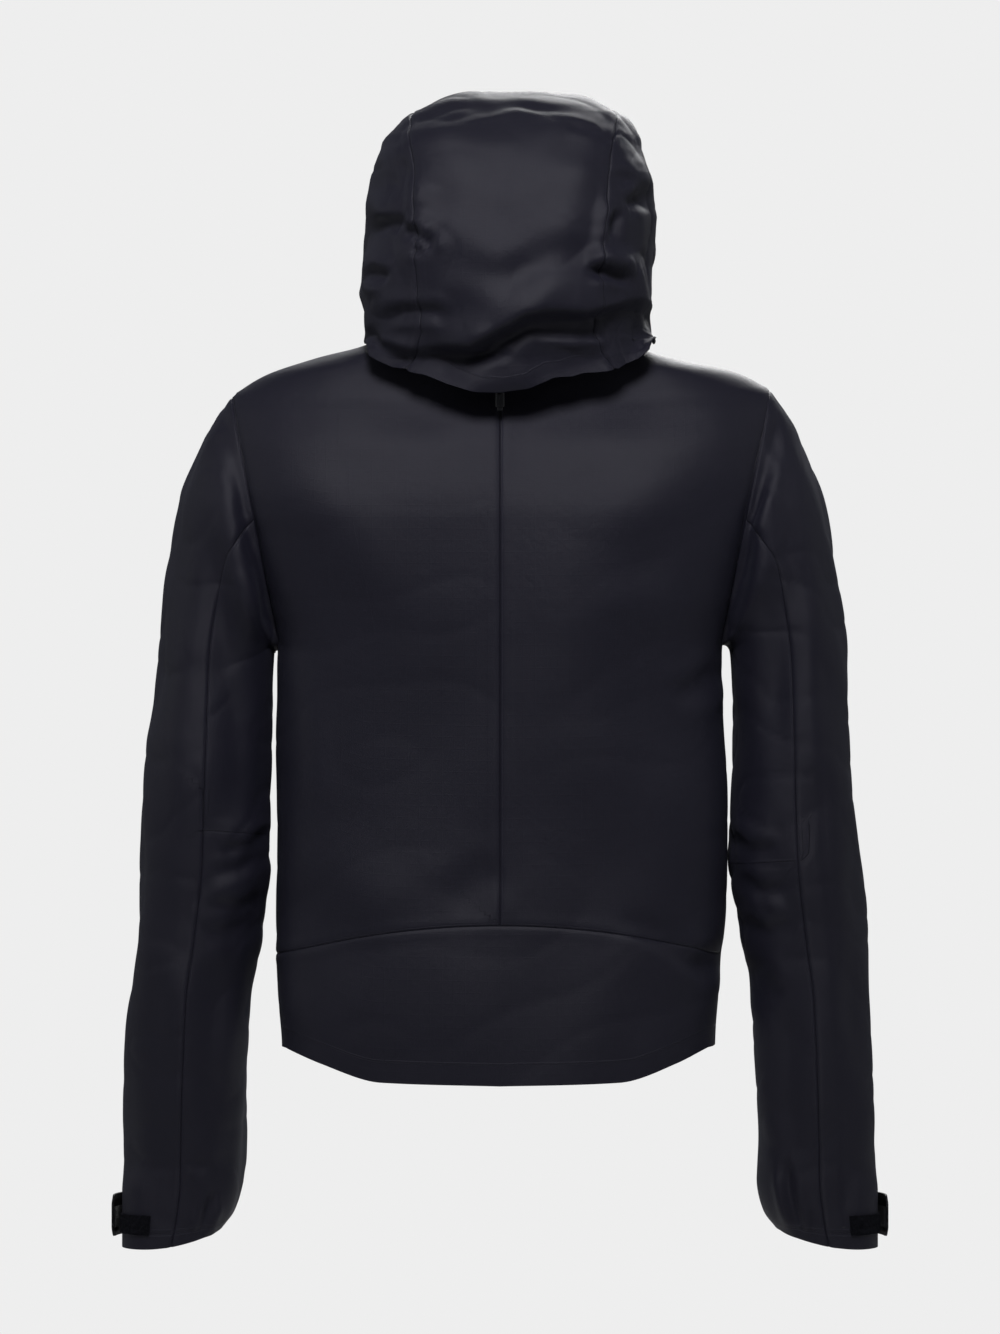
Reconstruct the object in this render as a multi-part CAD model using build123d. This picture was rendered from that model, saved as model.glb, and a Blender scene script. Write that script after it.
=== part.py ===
from build123d import *
import os
from math import atan, cos, degrees, hypot, radians, sin

os.makedirs("parts", exist_ok=True)

# Hooded hardshell jacket, size M, hung up by the loop inside its collar.
# Millimetres, +Z up, front towards -Y, the wearer's left towards +X.
# The shell is worked out about the middle of the body (y = 0) and a shoulder datum (z = 0), and every
# piece is then moved so that the origin is where a hook carries the hang loop.

# ---- driving dimensions ------------------------------------------------------------------------
CLOTH = 1.2                 # thickness of the three-layer shell
FINE_CLOTH = 0.8            # linings, tapes and bindings
BODY_GAP = 0.35             # room between pieces that move against each other
SEAM = 0.1                  # turn left free on each side of a seam

LOOP_HEIGHT = 52.0          # hook's bearing line above the shoulder datum
LOOP_DEPTH = 52.0           # hook's bearing line behind the middle of the body

HEM_Z = -598.0              # hem at the front and at the side seams
TAIL_DROP = 34.0            # the back hem hangs this much lower
TAIL_FLAT = 105.0           # half width of the level part of the back hem
HEM_SEAM_Z = -489.0         # seam of the back hem panel at the centre back
HEM_SEAM_FALL = 30.0        # how far that seam falls towards the side seams
NECK_Z = 28.0               # neck seam
COLLAR_TOP_Z = 72.0

ZIP_HALF = 8.0              # half width of the front zip, tape edge to tape edge
FRONT_DEPTH = 90.0          # centre front ahead of the middle, at the height FRONT_Z
FRONT_Z = 60.0
FRONT_LEAN = 0.06           # the centre front comes forward this much for each mm down

ARMHOLE_TOP = (234.0, -33.0)      # x, z of the armhole seam at the shoulder
ARMHOLE_BOTTOM = (193.5, -243.0)  # and under the arm
SHOULDER_Y = 4.0

ELBOW = (259.0, 2.0, -425.0)
ELBOW_RADIUS = 92.0         # radius in which the forearm turns inside the upper sleeve's end

HOOD_HINGE = (118.0, -30.0)       # y, z of the line about which the hood tips back

POCKET_X = 100.0
POCKET_TOP_Z = -330.0
POCKET_ZIP_LENGTH = 150.0


def front_depth(z):
    return FRONT_DEPTH + FRONT_LEAN * (FRONT_Z - z)


class Section:
    """A cut through the garment: a rounded outline with a depth of its own at the front and the back.

    Turn 0 is the outline's +u end, 90 the back, 180 the -u end and 270 the front."""

    def __init__(self, plane, half, front, back, power, slant=1.0):
        self.plane, self.half, self.front, self.back, self.power = plane, half, front, back, power
        self.slant = slant

    def point(self, turn, inward=0.0):
        c, s = cos(radians(turn)), sin(radians(turn))
        reach = (abs(c) ** self.power + abs(s) ** self.power) ** (1 / self.power)
        depth = (self.back if s > 0 else self.front) - inward
        u = (self.half - inward * self.slant) * c / reach
        return self.plane.from_local_coords(Vector(u, depth * s / reach, 0))

    def turn_to(self, distance, full):
        """The turn from an axis at which the outline is some distance off it."""
        share = distance / full
        return degrees(atan(share / (1 - share ** self.power) ** (1 / self.power)))

    def turn_off_centre(self, distance):
        return self.turn_to(distance, self.half)

    def turn_off_side(self, distance):
        return self.turn_to(distance, self.back)


def level(z, half, back, power, slant=1.0, front=None):
    plane = Plane(origin=(0, 0, z), x_dir=(1, 0, 0), z_dir=(0, 0, 1))
    return Section(plane, half, front_depth(z) if front is None else front, back, power, slant)


def graded(rows, places, spacing):
    """Rows of sizes at even spacing between the ones given, eased so that no size overshoots."""
    def slopes(column):
        steps = [(column[i + 1] - column[i]) / (places[i + 1] - places[i]) for i in range(len(rows) - 1)]
        inner = [0.0 if a * b <= 0 else 2 * a * b / (a + b) for a, b in zip(steps, steps[1:])]
        return [steps[0], *inner, steps[-1]]

    columns = list(zip(*rows))
    tangents = [slopes(column) for column in columns]
    count = round((places[-1] - places[0]) / spacing)
    result = []
    for k in range(count + 1):
        place = places[0] + (places[-1] - places[0]) * k / count
        i = min(sum(1 for p in places[1:] if p <= place), len(rows) - 2)
        gap = places[i + 1] - places[i]
        t = (place - places[i]) / gap
        row = []
        for column, slope in zip(columns, tangents):
            start, end = column[i], column[i + 1]
            row.append(start * (2 * t ** 3 - 3 * t ** 2 + 1) + end * (3 * t ** 2 - 2 * t ** 3)
                       + gap * slope[i] * (t ** 3 - 2 * t ** 2 + t) + gap * slope[i + 1] * (t ** 3 - t ** 2))
        result.append(tuple(row))
    return result


def distances(points):
    """How far along a line of points each one lies."""
    total = [0.0]
    for a, b in zip(points, points[1:]):
        total.append(total[-1] + hypot(b[0] - a[0], b[1] - a[1]))
    return total


def turn_of(value, section):
    return value(section) if callable(value) else value


def band(sections, start, end, inward=0.0, thickness=CLOTH, points=13):
    """A cloth panel: the strip of each section from one turn to another, from the first to the last."""
    outer_rows, inner_rows = [], []
    for section in sections:
        first, last = turn_of(start, section), turn_of(end, section)
        outer_row, inner_row = [], []
        for i in range(points):
            share = i / (points - 1)
            depth = inward(share) if callable(inward) else inward
            outer_row.append(section.point(first + (last - first) * share, depth))
            inner_row.append(section.point(first + (last - first) * share, depth + thickness))
        outer_rows.append(outer_row)
        inner_rows.append(inner_row)
    lowest = 3 if len(sections) > 3 else 1
    outer = Face.make_surface_from_array_of_points(outer_rows, tol=0.02, min_deg=lowest, max_deg=3)
    inner = Face.make_surface_from_array_of_points(inner_rows, tol=0.02, min_deg=lowest, max_deg=3)
    rims = []
    for edge in outer.edges():
        beside = min(inner.edges(), key=lambda other: (other @ 0.5 - edge @ 0.5).length)
        rims.append(Face.make_surface_from_curves(edge, beside))
    return Solid(Shell([outer, inner, *rims]))


def between(low, high, share):
    """The section part of the way from one to the next, for pieces that end between two of them."""
    def mix(a, b):
        return a + (b - a) * share

    origin = low.plane.origin + (high.plane.origin - low.plane.origin) * share
    x_dir = low.plane.x_dir + (high.plane.x_dir - low.plane.x_dir) * share
    z_dir = low.plane.z_dir + (high.plane.z_dir - low.plane.z_dir) * share
    plane = Plane(origin=origin, x_dir=x_dir, z_dir=z_dir)
    return Section(plane, mix(low.half, high.half), mix(low.front, high.front),
                   mix(low.back, high.back), mix(low.power, high.power), mix(low.slant, high.slant))


def at_height(sections, z):
    """The section of a level stack at a height."""
    for low, high in zip(sections, sections[1:]):
        a, b = low.plane.origin.Z, high.plane.origin.Z
        if min(a, b) <= z <= max(a, b):
            return between(low, high, (z - a) / (b - a))
    raise ValueError(f"no section at {z}")


def part_of(sections, low, high):
    """The stack cut down to the heights between low and high."""
    inside = [s for s in sections if low + 1 < s.plane.origin.Z < high - 1]
    return [at_height(sections, low)] + inside + [at_height(sections, high)]


def slab(width, depth, height, x=0.0, y=0.0, z=0.0):
    return Location((x, y, z)) * Box(width, depth, height)


def single(shape):
    """The largest solid of a cut, so that no splinter stays beside it."""
    return max(shape.solids(), key=lambda solid: solid.volume)


# ---- body sections, from the hem up --------------------------------------------------------------
BODY_SHAPE = [
    # height, half width, back depth, roundness, slant of the top
    (-640, 189, 112, 2.8, 1.0),
    (-598, 190, 112, 2.8, 1.0),
    (-540, 194, 110, 2.8, 1.0),
    (-480, 197, 107, 2.8, 1.0),
    (-400, 196, 106, 2.8, 1.0),
    (-320, 194, 109, 2.8, 1.0),
    (-255, 194.5, 114, 2.9, 1.0),
    (-200, 207, 117, 3.2, 1.0),
    (-138, 224, 118, 3.7, 1.0),
    (-80, 238, 107, 3.4, 1.1),
    (-45, 243, 92, 3.0, 1.6),
    (-31, 239, 85, 2.8, 2.6),
    (-20, 225, 81, 2.7, 3.0),
    (-8, 202, 77, 2.6, 3.2),
    (4, 162, 71, 2.6, 3.2),
    (15, 122, 66, 2.6, 2.6),
    (NECK_Z, 97, 62, 2.6, 1.4),
]
side_line = distances([(row[1], row[0]) for row in BODY_SHAPE])
body = [level(*row) for row in graded(BODY_SHAPE, side_line, 20.0)]
COLLAR_SHAPE = [
    (NECK_Z, 97, 62, 2.6, 1.4),
    (50, 92, 60, 2.5, 1.0),
    (COLLAR_TOP_Z, 89, 59, 2.4, 1.0),
]
collar = [level(*row) for row in graded(COLLAR_SHAPE, [row[0] for row in COLLAR_SHAPE], 8.0)]

# ---- left sleeve sections, from the armhole down ---------------------------------------------------
SLEEVE_SHAPE = [
    # inner edge x, z; outer edge x, z; half depth; middle y; roundness
    (*ARMHOLE_BOTTOM, *ARMHOLE_TOP, 76, 4, 2.4),
    (197.5, -247, 262, -66, 74, 4, 2.4),
    (200.5, -250, 283, -118, 70, 3, 2.4),
    (201.5, -252, 296, -190, 66, 2, 2.4),
    (202, -262, 304, -254, 64, 2, 2.4),
    (202, -330, 309, -330, 62, 1, 2.4),
    (202, -435, 316, -435, 60, 0, 2.4),
    (211, -500, 321, -500, 57, -2, 2.4),
    (222, -560, 325, -560, 54, -4, 2.4),
    (225, -640, 330, -640, 50, -7, 2.4),
    (226, -717, 333, -717, 46, -10, 2.4),
    (233, -745, 333, -747, 44, -10, 2.5),
    (243, -759, 333, -776, 41, -10, 2.6),
]


def across(inner_x, inner_z, outer_x, outer_z, depth, y, power):
    """A sleeve section between its inner and its outer edge."""
    dx, dz = outer_x - inner_x, outer_z - inner_z
    centre = ((inner_x + outer_x) / 2, y, (inner_z + outer_z) / 2)
    plane = Plane(origin=centre, x_dir=(dx, 0, dz), z_dir=(-dz, 0, dx))
    return Section(plane, hypot(dx, dz) / 2, depth, depth, power)


outer_line = distances([row[2:4] for row in SLEEVE_SHAPE])
sleeve = [across(*row) for row in graded(SLEEVE_SHAPE, outer_line, 20.0)]

# ---- hood sections: arches that fan back over the head from the face opening to the nape ----------
HOOD_SHAPE = [
    # lean back, half width, rise, roundness, foot
    (-38, 112, 236, 2.8, 84),
    (-15, 124, 244, 3.2, 42),
    (5, 127, 239, 3.4, 22),
    (28, 128, 228, 3.4, 22),
    (52, 129, 188, 3.0, 28),
    (75, 131, 152, 2.7, 56),
    (90, 131, 139, 2.6, 68),
    (102, 130, 130, 2.6, 92),
]


def arch(lean, half, rise, power):
    up = (0, sin(radians(lean)), cos(radians(lean)))
    plane = Plane(origin=(0, 0, 0), x_dir=(1, 0, 0), z_dir=(0, -up[2], up[1]))
    return Section(plane, half, rise, rise, power)


# The plane's own y axis points up the arch, so the hood lies on turns 0 to 180, with its crown at 90.
hood_rows = graded(HOOD_SHAPE, [row[0] for row in HOOD_SHAPE], 7.0)
hood = [arch(*row[:4]) for row in hood_rows]
feet = {id(section): row[4] for section, row in zip(hood, hood_rows)}

# ---- cutting bodies ---------------------------------------------------------------------------------
armhole_dx = ARMHOLE_TOP[0] - ARMHOLE_BOTTOM[0]
armhole_dz = ARMHOLE_TOP[1] - ARMHOLE_BOTTOM[1]
armhole_length = hypot(armhole_dx, armhole_dz)
armhole_axis = (armhole_dz / armhole_length, 0, -armhole_dx / armhole_length)
armhole_plane = Plane(origin=(ARMHOLE_TOP[0], 0, ARMHOLE_TOP[1]), x_dir=(0, 1, 0), z_dir=armhole_axis)
armhole_block = armhole_plane * slab(400, 520, 200, z=100 - BODY_GAP)
armhole_block = armhole_block & slab(600, 600, 400, 300, 0, ARMHOLE_BOTTOM[1] - 2 + 200)

seam_half = 260.0
seam_drop = HEM_SEAM_FALL * (seam_half / 200) ** 2
seam_face = make_face([
    ThreePointArc((-seam_half, HEM_SEAM_Z - seam_drop), (0, HEM_SEAM_Z), (seam_half, HEM_SEAM_Z - seam_drop)),
    Polyline((seam_half, HEM_SEAM_Z - seam_drop), (seam_half, -700), (-seam_half, -700),
             (-seam_half, HEM_SEAM_Z - seam_drop)),
])
below_seam = extrude(Plane.XZ * seam_face, 200, both=True)

tail_side = 188.0
tail_curve = Spline((-tail_side, HEM_Z), (-TAIL_FLAT, HEM_Z - TAIL_DROP + 3), (0, HEM_Z - TAIL_DROP),
                    (TAIL_FLAT, HEM_Z - TAIL_DROP + 3), (tail_side, HEM_Z))


def below_tail(rise):
    """Everything under the back hem's curve, raised by some millimetres."""
    curve = Pos(0, rise, 0) * tail_curve
    outside = Polyline((tail_side, HEM_Z + rise), (250, HEM_Z + rise), (250, -700), (-250, -700),
                       (-250, HEM_Z + rise), (-tail_side, HEM_Z + rise))
    return extrude(Plane.XZ * make_face([curve, outside]), 200, both=True)


def export(name, shape, side=None):
    """Write a piece, as drawn or as its mirror image, in the hang loop's frame."""
    if side == "right":
        shape = mirror(shape, about=Plane.YZ)
    moved = Location((0, -LOOP_DEPTH, -LOOP_HEIGHT)) * shape
    export_step(moved, f"parts/{name}.step")


def export_pair(name, shape):
    for side in ("left", "right"):
        export(f"{name}_{side}", shape, side)


# ---- body panels ---------------------------------------------------------------------------------
beside_zip = lambda s: -90 + s.turn_off_centre(ZIP_HALF)

back_half = band(part_of(body, -530, NECK_Z), SEAM, 90 - SEAM) - armhole_block
export_pair("back_panel", single(back_half - below_seam))

hem_back = band(part_of(body, -640, -480), SEAM, 180 - SEAM, points=25) & below_seam
export("back_hem_panel", single(hem_back - below_tail(0)))

front_half = band(part_of(body, HEM_Z, NECK_Z), beside_zip, -SEAM) - armhole_block
export_pair("front_panel", single(front_half))

export_pair("collar", band(collar, beside_zip, 90 - SEAM))
LINING_START = 23.0         # the storm flap lies between the lining's two ends
lining_start = lambda s: -90 + s.turn_off_centre(LINING_START)
lining_end = lambda s: 270 - s.turn_off_centre(LINING_START)
export("collar_lining", band(part_of(collar, 31, 69), lining_start, lining_end, 2.2, FINE_CLOTH, 25))

# The channel inside the hem, in which the elastic cord runs.
CHANNEL_DEPTH = 5.2         # the channel's cloth behind the shell, with the cord between them
channel_front = band(part_of(body, HEM_Z, HEM_Z + 20), lambda s: -90 + s.turn_off_centre(26), -1,
                     CHANNEL_DEPTH, FINE_CLOTH)
export_pair("hem_channel_front", channel_front)
channel_back = band(part_of(body, -640, -560), 1, 179, CHANNEL_DEPTH, FINE_CLOTH, 25)
export("hem_channel_back", single((channel_back & below_tail(20)) - below_tail(0)))
cord_start = lambda s: -90 + s.turn_off_centre(60)
export_pair("hem_drawcord", band(part_of(body, HEM_Z + 7, HEM_Z + 9.4), cord_start, -1.5, 2.2, 2.4))

tape_start = lambda s: 90 - s.turn_off_centre(10)
tape_end = lambda s: 90 + s.turn_off_centre(10)
export("back_seam_tape", band(part_of(body, -478, -40), tape_start, tape_end, 2.2, 0.4, 5))

# Pocket bags lie flat behind the front panels.
bag_start = lambda s: -90 + s.turn_off_centre(42)
bag_end = lambda s: -90 + s.turn_off_centre(150)
export_pair("pocket_bag", band(part_of(body, -555, -300), bag_start, bag_end, 2.8, 1.6))

# ---- zips --------------------------------------------------------------------------------------------
CHAIN_SLOT = 0.5            # half of the slot in which a slider's post runs
POST_HALF = 0.3


def line_frame(top, bottom, tangent):
    """A frame at a zip's top end: x across the zip, z up along it and y into the garment."""
    return Plane(origin=top, x_dir=tangent, z_dir=Vector(*top) - Vector(*bottom))


def span(x0, x1, y0, y1, z0, z1):
    return slab(x1 - x0, y1 - y0, z1 - z0, (x0 + x1) / 2, (y0 + y1) / 2, (z0 + z1) / 2)


zip_top_z = COLLAR_TOP_Z - 1.0
zip_bottom_z = HEM_Z + 1.0
zip_top = (0, -front_depth(zip_top_z), zip_top_z)
zip_bottom = (0, -front_depth(zip_bottom_z), zip_bottom_z)
zip_length = (Vector(*zip_top) - Vector(*zip_bottom)).length
front_zip = line_frame(zip_top, zip_bottom, (1, 0, 0))

tape = span(2.4, ZIP_HALF - 0.3, 0, 1.2, -zip_length, 0)
chain = span(CHAIN_SLOT, 2.6, -0.6, 1.8, -zip_length, 0)
export_pair("front_zip_tape", front_zip * (tape + chain))
stop_box = span(-4.2, 4.2, -1.4, -0.8, -zip_length + 0.5, -zip_length + 9.5)
export("front_zip_box", front_zip * stop_box)

slider_front = fillet(span(-4.6, 4.6, -2.6, -1.0, -15, -2).edges().filter_by(Axis.Y), 1.6)
slider_back = fillet(span(-4.6, 4.6, 2.2, 3.4, -15, -2).edges().filter_by(Axis.Y), 1.6)
slider_post = span(-POST_HALF, POST_HALF, -1.2, 2.4, -10, -4)
slider_bail = (span(-1.6, 1.6, -6.0, -2.4, -12.4, -4.4)
               - span(-2, 2, -4.6, -2.6, -10.6, -6.2))
export("front_zip_slider", front_zip * (slider_front + slider_back + slider_post + slider_bail))

# The pull hangs from the bail by a wire eye and carries a moulded grip.
PULL_PIVOT = (-3.9, -9.7)   # y, z in the zip's frame
eye = (Location((0, PULL_PIVOT[0], PULL_PIVOT[1])) * Rotation(0, 90, 0) * Cylinder(0.6, 5.6)
       + span(-2.8, -1.9, PULL_PIVOT[0] - 0.6, PULL_PIVOT[0] + 0.6, PULL_PIVOT[1] - 7.0, PULL_PIVOT[1])
       + span(1.9, 2.8, PULL_PIVOT[0] - 0.6, PULL_PIVOT[0] + 0.6, PULL_PIVOT[1] - 7.0, PULL_PIVOT[1]))
grip = fillet(span(-3.4, 3.4, PULL_PIVOT[0] - 1.1, PULL_PIVOT[0] + 1.1, PULL_PIVOT[1] - 38,
                   PULL_PIVOT[1] - 6).edges(), 1.0)
export("front_zip_pull", front_zip * (eye + grip))

flap = (span(-16, 20, 5.0, 6.0, -zip_length + 3, -6) + span(17, 20, 2.6, 5.2, -zip_length + 3, -6))
export("storm_flap", front_zip * flap)

# Pocket zips stand on the front panels and open downwards.
pocket_top = at_height(body, POCKET_TOP_Z)
pocket_low = at_height(body, POCKET_TOP_Z - POCKET_ZIP_LENGTH)
on_panel = lambda s, x: s.point(-90 + s.turn_off_centre(x))
tangent = on_panel(pocket_top, POCKET_X + 5) - on_panel(pocket_top, POCKET_X - 5)
pocket_zip = line_frame(tuple(on_panel(pocket_top, POCKET_X)), tuple(on_panel(pocket_low, POCKET_X)),
                        tuple(tangent))
welt = (span(-8, 8, -3.8, -0.9, -POCKET_ZIP_LENGTH, 0)
        - span(-5, 5, -2.6, 0, -POCKET_ZIP_LENGTH + 4, -4)
        - span(-CHAIN_SLOT, CHAIN_SLOT, -5, 0, -POCKET_ZIP_LENGTH + 4, -4))
export_pair("pocket_zip", pocket_zip * welt)
pocket_slider = (span(-3.6, 3.6, -5.4, -4.1, -16, -5) + span(-3.6, 3.6, -2.3, -1.4, -16, -5)
                 + span(-POST_HALF, POST_HALF, -4.4, -2.0, -12, -6)
                 + span(-1.3, 1.3, -8.4, -5.2, -13.4, -6.0) - span(-2, 2, -7.2, -5.4, -11.8, -7.6))
export_pair("pocket_zip_slider", pocket_zip * pocket_slider)
POCKET_PIVOT = (-6.55, -11.0)
pocket_eye = (Location((0, POCKET_PIVOT[0], POCKET_PIVOT[1])) * Rotation(0, 90, 0) * Cylinder(0.5, 4.6)
              + span(-2.3, -1.6, POCKET_PIVOT[0] - 0.5, POCKET_PIVOT[0] + 0.5, POCKET_PIVOT[1] - 6,
                     POCKET_PIVOT[1])
              + span(1.6, 2.3, POCKET_PIVOT[0] - 0.5, POCKET_PIVOT[0] + 0.5, POCKET_PIVOT[1] - 6,
                     POCKET_PIVOT[1]))
pocket_grip = fillet(span(-2.8, 2.8, POCKET_PIVOT[0] - 0.9, POCKET_PIVOT[0] + 0.9, POCKET_PIVOT[1] - 28,
                          POCKET_PIVOT[1] - 5).edges(), 0.8)
export_pair("pocket_zip_pull", pocket_zip * (pocket_eye + pocket_grip))

# ---- hang loop ---------------------------------------------------------------------------------------
strap_path = Spline((-30, LOOP_HEIGHT - 20), (-18, LOOP_HEIGHT - 4), (0, LOOP_HEIGHT), (18, LOOP_HEIGHT - 4),
                    (30, LOOP_HEIGHT - 20))
strap_top = Spline((-31.6, LOOP_HEIGHT - 20), (-19, LOOP_HEIGHT - 2.6), (0, LOOP_HEIGHT + 1.6),
                   (19, LOOP_HEIGHT - 2.6), (31.6, LOOP_HEIGHT - 20))
strap = make_face([strap_path, Line(strap_path @ 1, strap_top @ 1), strap_top,
                   Line(strap_top @ 0, strap_path @ 0)])
strap = extrude(Plane.XZ.offset(-LOOP_DEPTH + 4) * strap, -8)
export("hang_loop", strap)

# ---- hood --------------------------------------------------------------------------------------------
CROWN_HALF = 34.0           # turn from the crown to the seams of the centre panel
foot_turn = lambda s: s.turn_off_side(feet[id(s)])
export("hood_center_panel", band(hood, 90 - CROWN_HALF + SEAM, 90 + CROWN_HALF - SEAM))
export_pair("hood_side_panel", band(hood, foot_turn, 90 - CROWN_HALF - SEAM))
brim = [arch(-46, 96, 240, 2.8), arch(-42, 107, 239, 2.8), arch(-38.4, 112, 236.5, 2.8)]
export("hood_brim", band(brim, 90 - 46, 90 + 46, 0, 1.8))
edge = [arch(-38, 112, 236, 2.8), arch(-34, 115, 238, 2.85)]
edge_foot = lambda s: s.turn_off_side(86)
export("hood_edge_binding", band(edge, edge_foot, lambda s: 180 - edge_foot(s), 2.2, FINE_CLOTH, 21))

# The rear adjuster: a cord lock on a short cord, hanging out under the hood's back edge.
LOCK_Y, LOCK_Z = 104.0, -36.0
lock_body = (Location((0, LOCK_Y, LOCK_Z)) * Cylinder(4.6, 12)
             - Location((0, LOCK_Y, LOCK_Z - 4)) * Cylinder(3.2, 8)
             - Location((0, LOCK_Y, LOCK_Z + 2.4)) * Rotation(0, 90, 0) * Cylinder(1.5, 12))
export("hood_cord_lock", lock_body)
lock_button = Location((0, LOCK_Y, LOCK_Z - 5.6)) * Cylinder(2.8, 7)
export("hood_cord_lock_button", lock_button)

# ---- sleeves -------------------------------------------------------------------------------------------
# The forearm's end turns in a round of ELBOW_RADIUS about the elbow, inside the upper sleeve's end.
SLEEVE_SEAM = 250.0         # front seam of the under sleeve, as a turn
elbow_round = Location(ELBOW) * Rotation(0, 90, 0) * Cylinder(ELBOW_RADIUS, 200)
elbow_room = Location(ELBOW) * Rotation(0, 90, 0) * Cylinder(ELBOW_RADIUS + BODY_GAP, 200)
below_elbow = slab(300, 300, 500, ELBOW[0], ELBOW[1], ELBOW[2] - 250)
above_forearm = slab(300, 300, 500, ELBOW[0], ELBOW[1], ELBOW[2] + 250) - elbow_round
for name, start, end in (("outer", SLEEVE_SEAM - 360 + SEAM, 90 - SEAM), ("under", 90 + SEAM, SLEEVE_SEAM - SEAM)):
    tube = band(sleeve, start, end, points=13)
    export_pair(f"upper_sleeve_{name}", single(tube - below_elbow - elbow_room))
    export_pair(f"forearm_{name}", single(tube - above_forearm))

cuff = sleeve[-2:]
export_pair("cuff_binding", band(cuff, -89, 269, 1.9, FINE_CLOTH, 33))

strip = [across(233.6, -746, 333, -746, 44, -10, 2.5), across(241, -763, 333, -763, 42, -10, 2.55)]
export_pair("cuff_loop_strip", band(strip, 8, 66, -1.7, 1.0))

# The tab is sewn down at the front of the cuff and lies round its outer edge.
tab_sections = [across(231, -731, 333, -731, 45, -10, 2.45),
                across(237, -750, 333, -750, 43.5, -10, 2.5),
                across(242, -768, 333, -768, 42, -10, 2.6)]
TAB_LIFT = 4.8              # the tab's outer face above the cuff where it is sewn down
TAB_FLARE = 4.1             # how much further its free end stands off
TAB_CLOTH = 1.6
tab_lift = lambda share: -TAB_LIFT - TAB_FLARE * share ** 2
export_pair("cuff_tab", band(tab_sections, -78, 8, tab_lift, TAB_CLOTH))
hook_lift = lambda share: TAB_CLOTH + 0.25 - TAB_LIFT - TAB_FLARE * (0.51 + 0.443 * share) ** 2
hook_sections = [between(tab_sections[0], tab_sections[1], 0.6), between(tab_sections[1], tab_sections[2], 0.6)]
export_pair("cuff_hook_patch", band(hook_sections, -34, 4, hook_lift, FINE_CLOTH))

# ---- hem cord locks ------------------------------------------------------------------------------------
HEM_LOCK_X, HEM_LOCK_Z = 62.0, -582.0
hem_lock_y = on_panel(at_height(body, HEM_LOCK_Z), HEM_LOCK_X).Y + 13.0
hem_lock = fillet(slab(13, 9, 15, HEM_LOCK_X, hem_lock_y, HEM_LOCK_Z).edges(), 1.5)
hem_lock = hem_lock - Location((HEM_LOCK_X, hem_lock_y, HEM_LOCK_Z + 4)) * Cylinder(3.2, 12)
export_pair("hem_cord_lock", hem_lock)
export_pair("hem_cord_lock_button", Location((HEM_LOCK_X, hem_lock_y, HEM_LOCK_Z + 6.2)) * Cylinder(2.8, 9))
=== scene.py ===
import math
import bmesh
import bpy
import numpy as np
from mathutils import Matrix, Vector


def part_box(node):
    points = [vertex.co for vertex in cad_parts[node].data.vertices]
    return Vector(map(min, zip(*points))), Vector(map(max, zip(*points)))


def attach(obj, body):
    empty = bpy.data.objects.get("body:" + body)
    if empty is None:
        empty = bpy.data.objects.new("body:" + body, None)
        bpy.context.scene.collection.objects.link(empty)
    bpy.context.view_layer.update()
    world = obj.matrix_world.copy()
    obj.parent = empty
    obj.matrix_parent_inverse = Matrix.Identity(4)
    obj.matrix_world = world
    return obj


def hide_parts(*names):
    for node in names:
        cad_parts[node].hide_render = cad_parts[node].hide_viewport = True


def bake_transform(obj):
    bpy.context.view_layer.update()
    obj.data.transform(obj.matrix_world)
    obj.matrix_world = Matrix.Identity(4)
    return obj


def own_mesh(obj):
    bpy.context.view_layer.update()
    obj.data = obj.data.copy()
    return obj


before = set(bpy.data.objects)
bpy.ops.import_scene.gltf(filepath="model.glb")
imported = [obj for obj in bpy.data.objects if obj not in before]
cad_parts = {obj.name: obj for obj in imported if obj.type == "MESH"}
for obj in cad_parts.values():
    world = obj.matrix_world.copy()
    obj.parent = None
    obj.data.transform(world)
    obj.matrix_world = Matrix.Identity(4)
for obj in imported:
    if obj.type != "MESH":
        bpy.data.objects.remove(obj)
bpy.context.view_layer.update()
bpy.ops.object.select_all(action="DESELECT")

# ---- room ----------------------------------------------------------------------------------------
# A pale seamless room with the jacket hung up in the middle of it. One soft light is high behind the
# camera, weaker ones are at the sides, above and in front, and the floor is plain matt grey.
ROOM_GREY = (.855, .855, .855)
VIEW_HEIGHT = 1.174          # what the camera takes in, at the middle of the jacket
VIEW_CENTRE = Vector((0, -.052, -.318))
CAMERA_DISTANCE = 5.0
scene = bpy.context.scene
scene.view_settings.view_transform = "Standard"
world = bpy.data.worlds.new("room")
scene.world = world
world.use_nodes = True
nodes, links = world.node_tree.nodes, world.node_tree.links
seen = nodes.new("ShaderNodeBackground")
seen.inputs["Color"].default_value = (*ROOM_GREY, 1)
fill = nodes.new("ShaderNodeBackground")
fill.inputs["Color"].default_value = (.9, .93, 1, 1)
fill.inputs["Strength"].default_value = .10
which = nodes.new("ShaderNodeMixShader")
path = nodes.new("ShaderNodeLightPath")
links.new(path.outputs["Is Camera Ray"], which.inputs["Fac"])
links.new(fill.outputs["Background"], which.inputs[1])
links.new(seen.outputs["Background"], which.inputs[2])
links.new(which.outputs["Shader"], nodes["World Output"].inputs["Surface"])

camera = bpy.data.objects.new("camera", bpy.data.cameras.new("camera"))
camera.data.sensor_width = 36
camera.data.lens = 18 * CAMERA_DISTANCE / (VIEW_HEIGHT / 2)
camera.location = VIEW_CENTRE + Vector((0, CAMERA_DISTANCE, 0))
camera.rotation_euler = (math.pi / 2, 0, math.pi)
scene.collection.objects.link(camera)
scene.camera = camera


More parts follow.
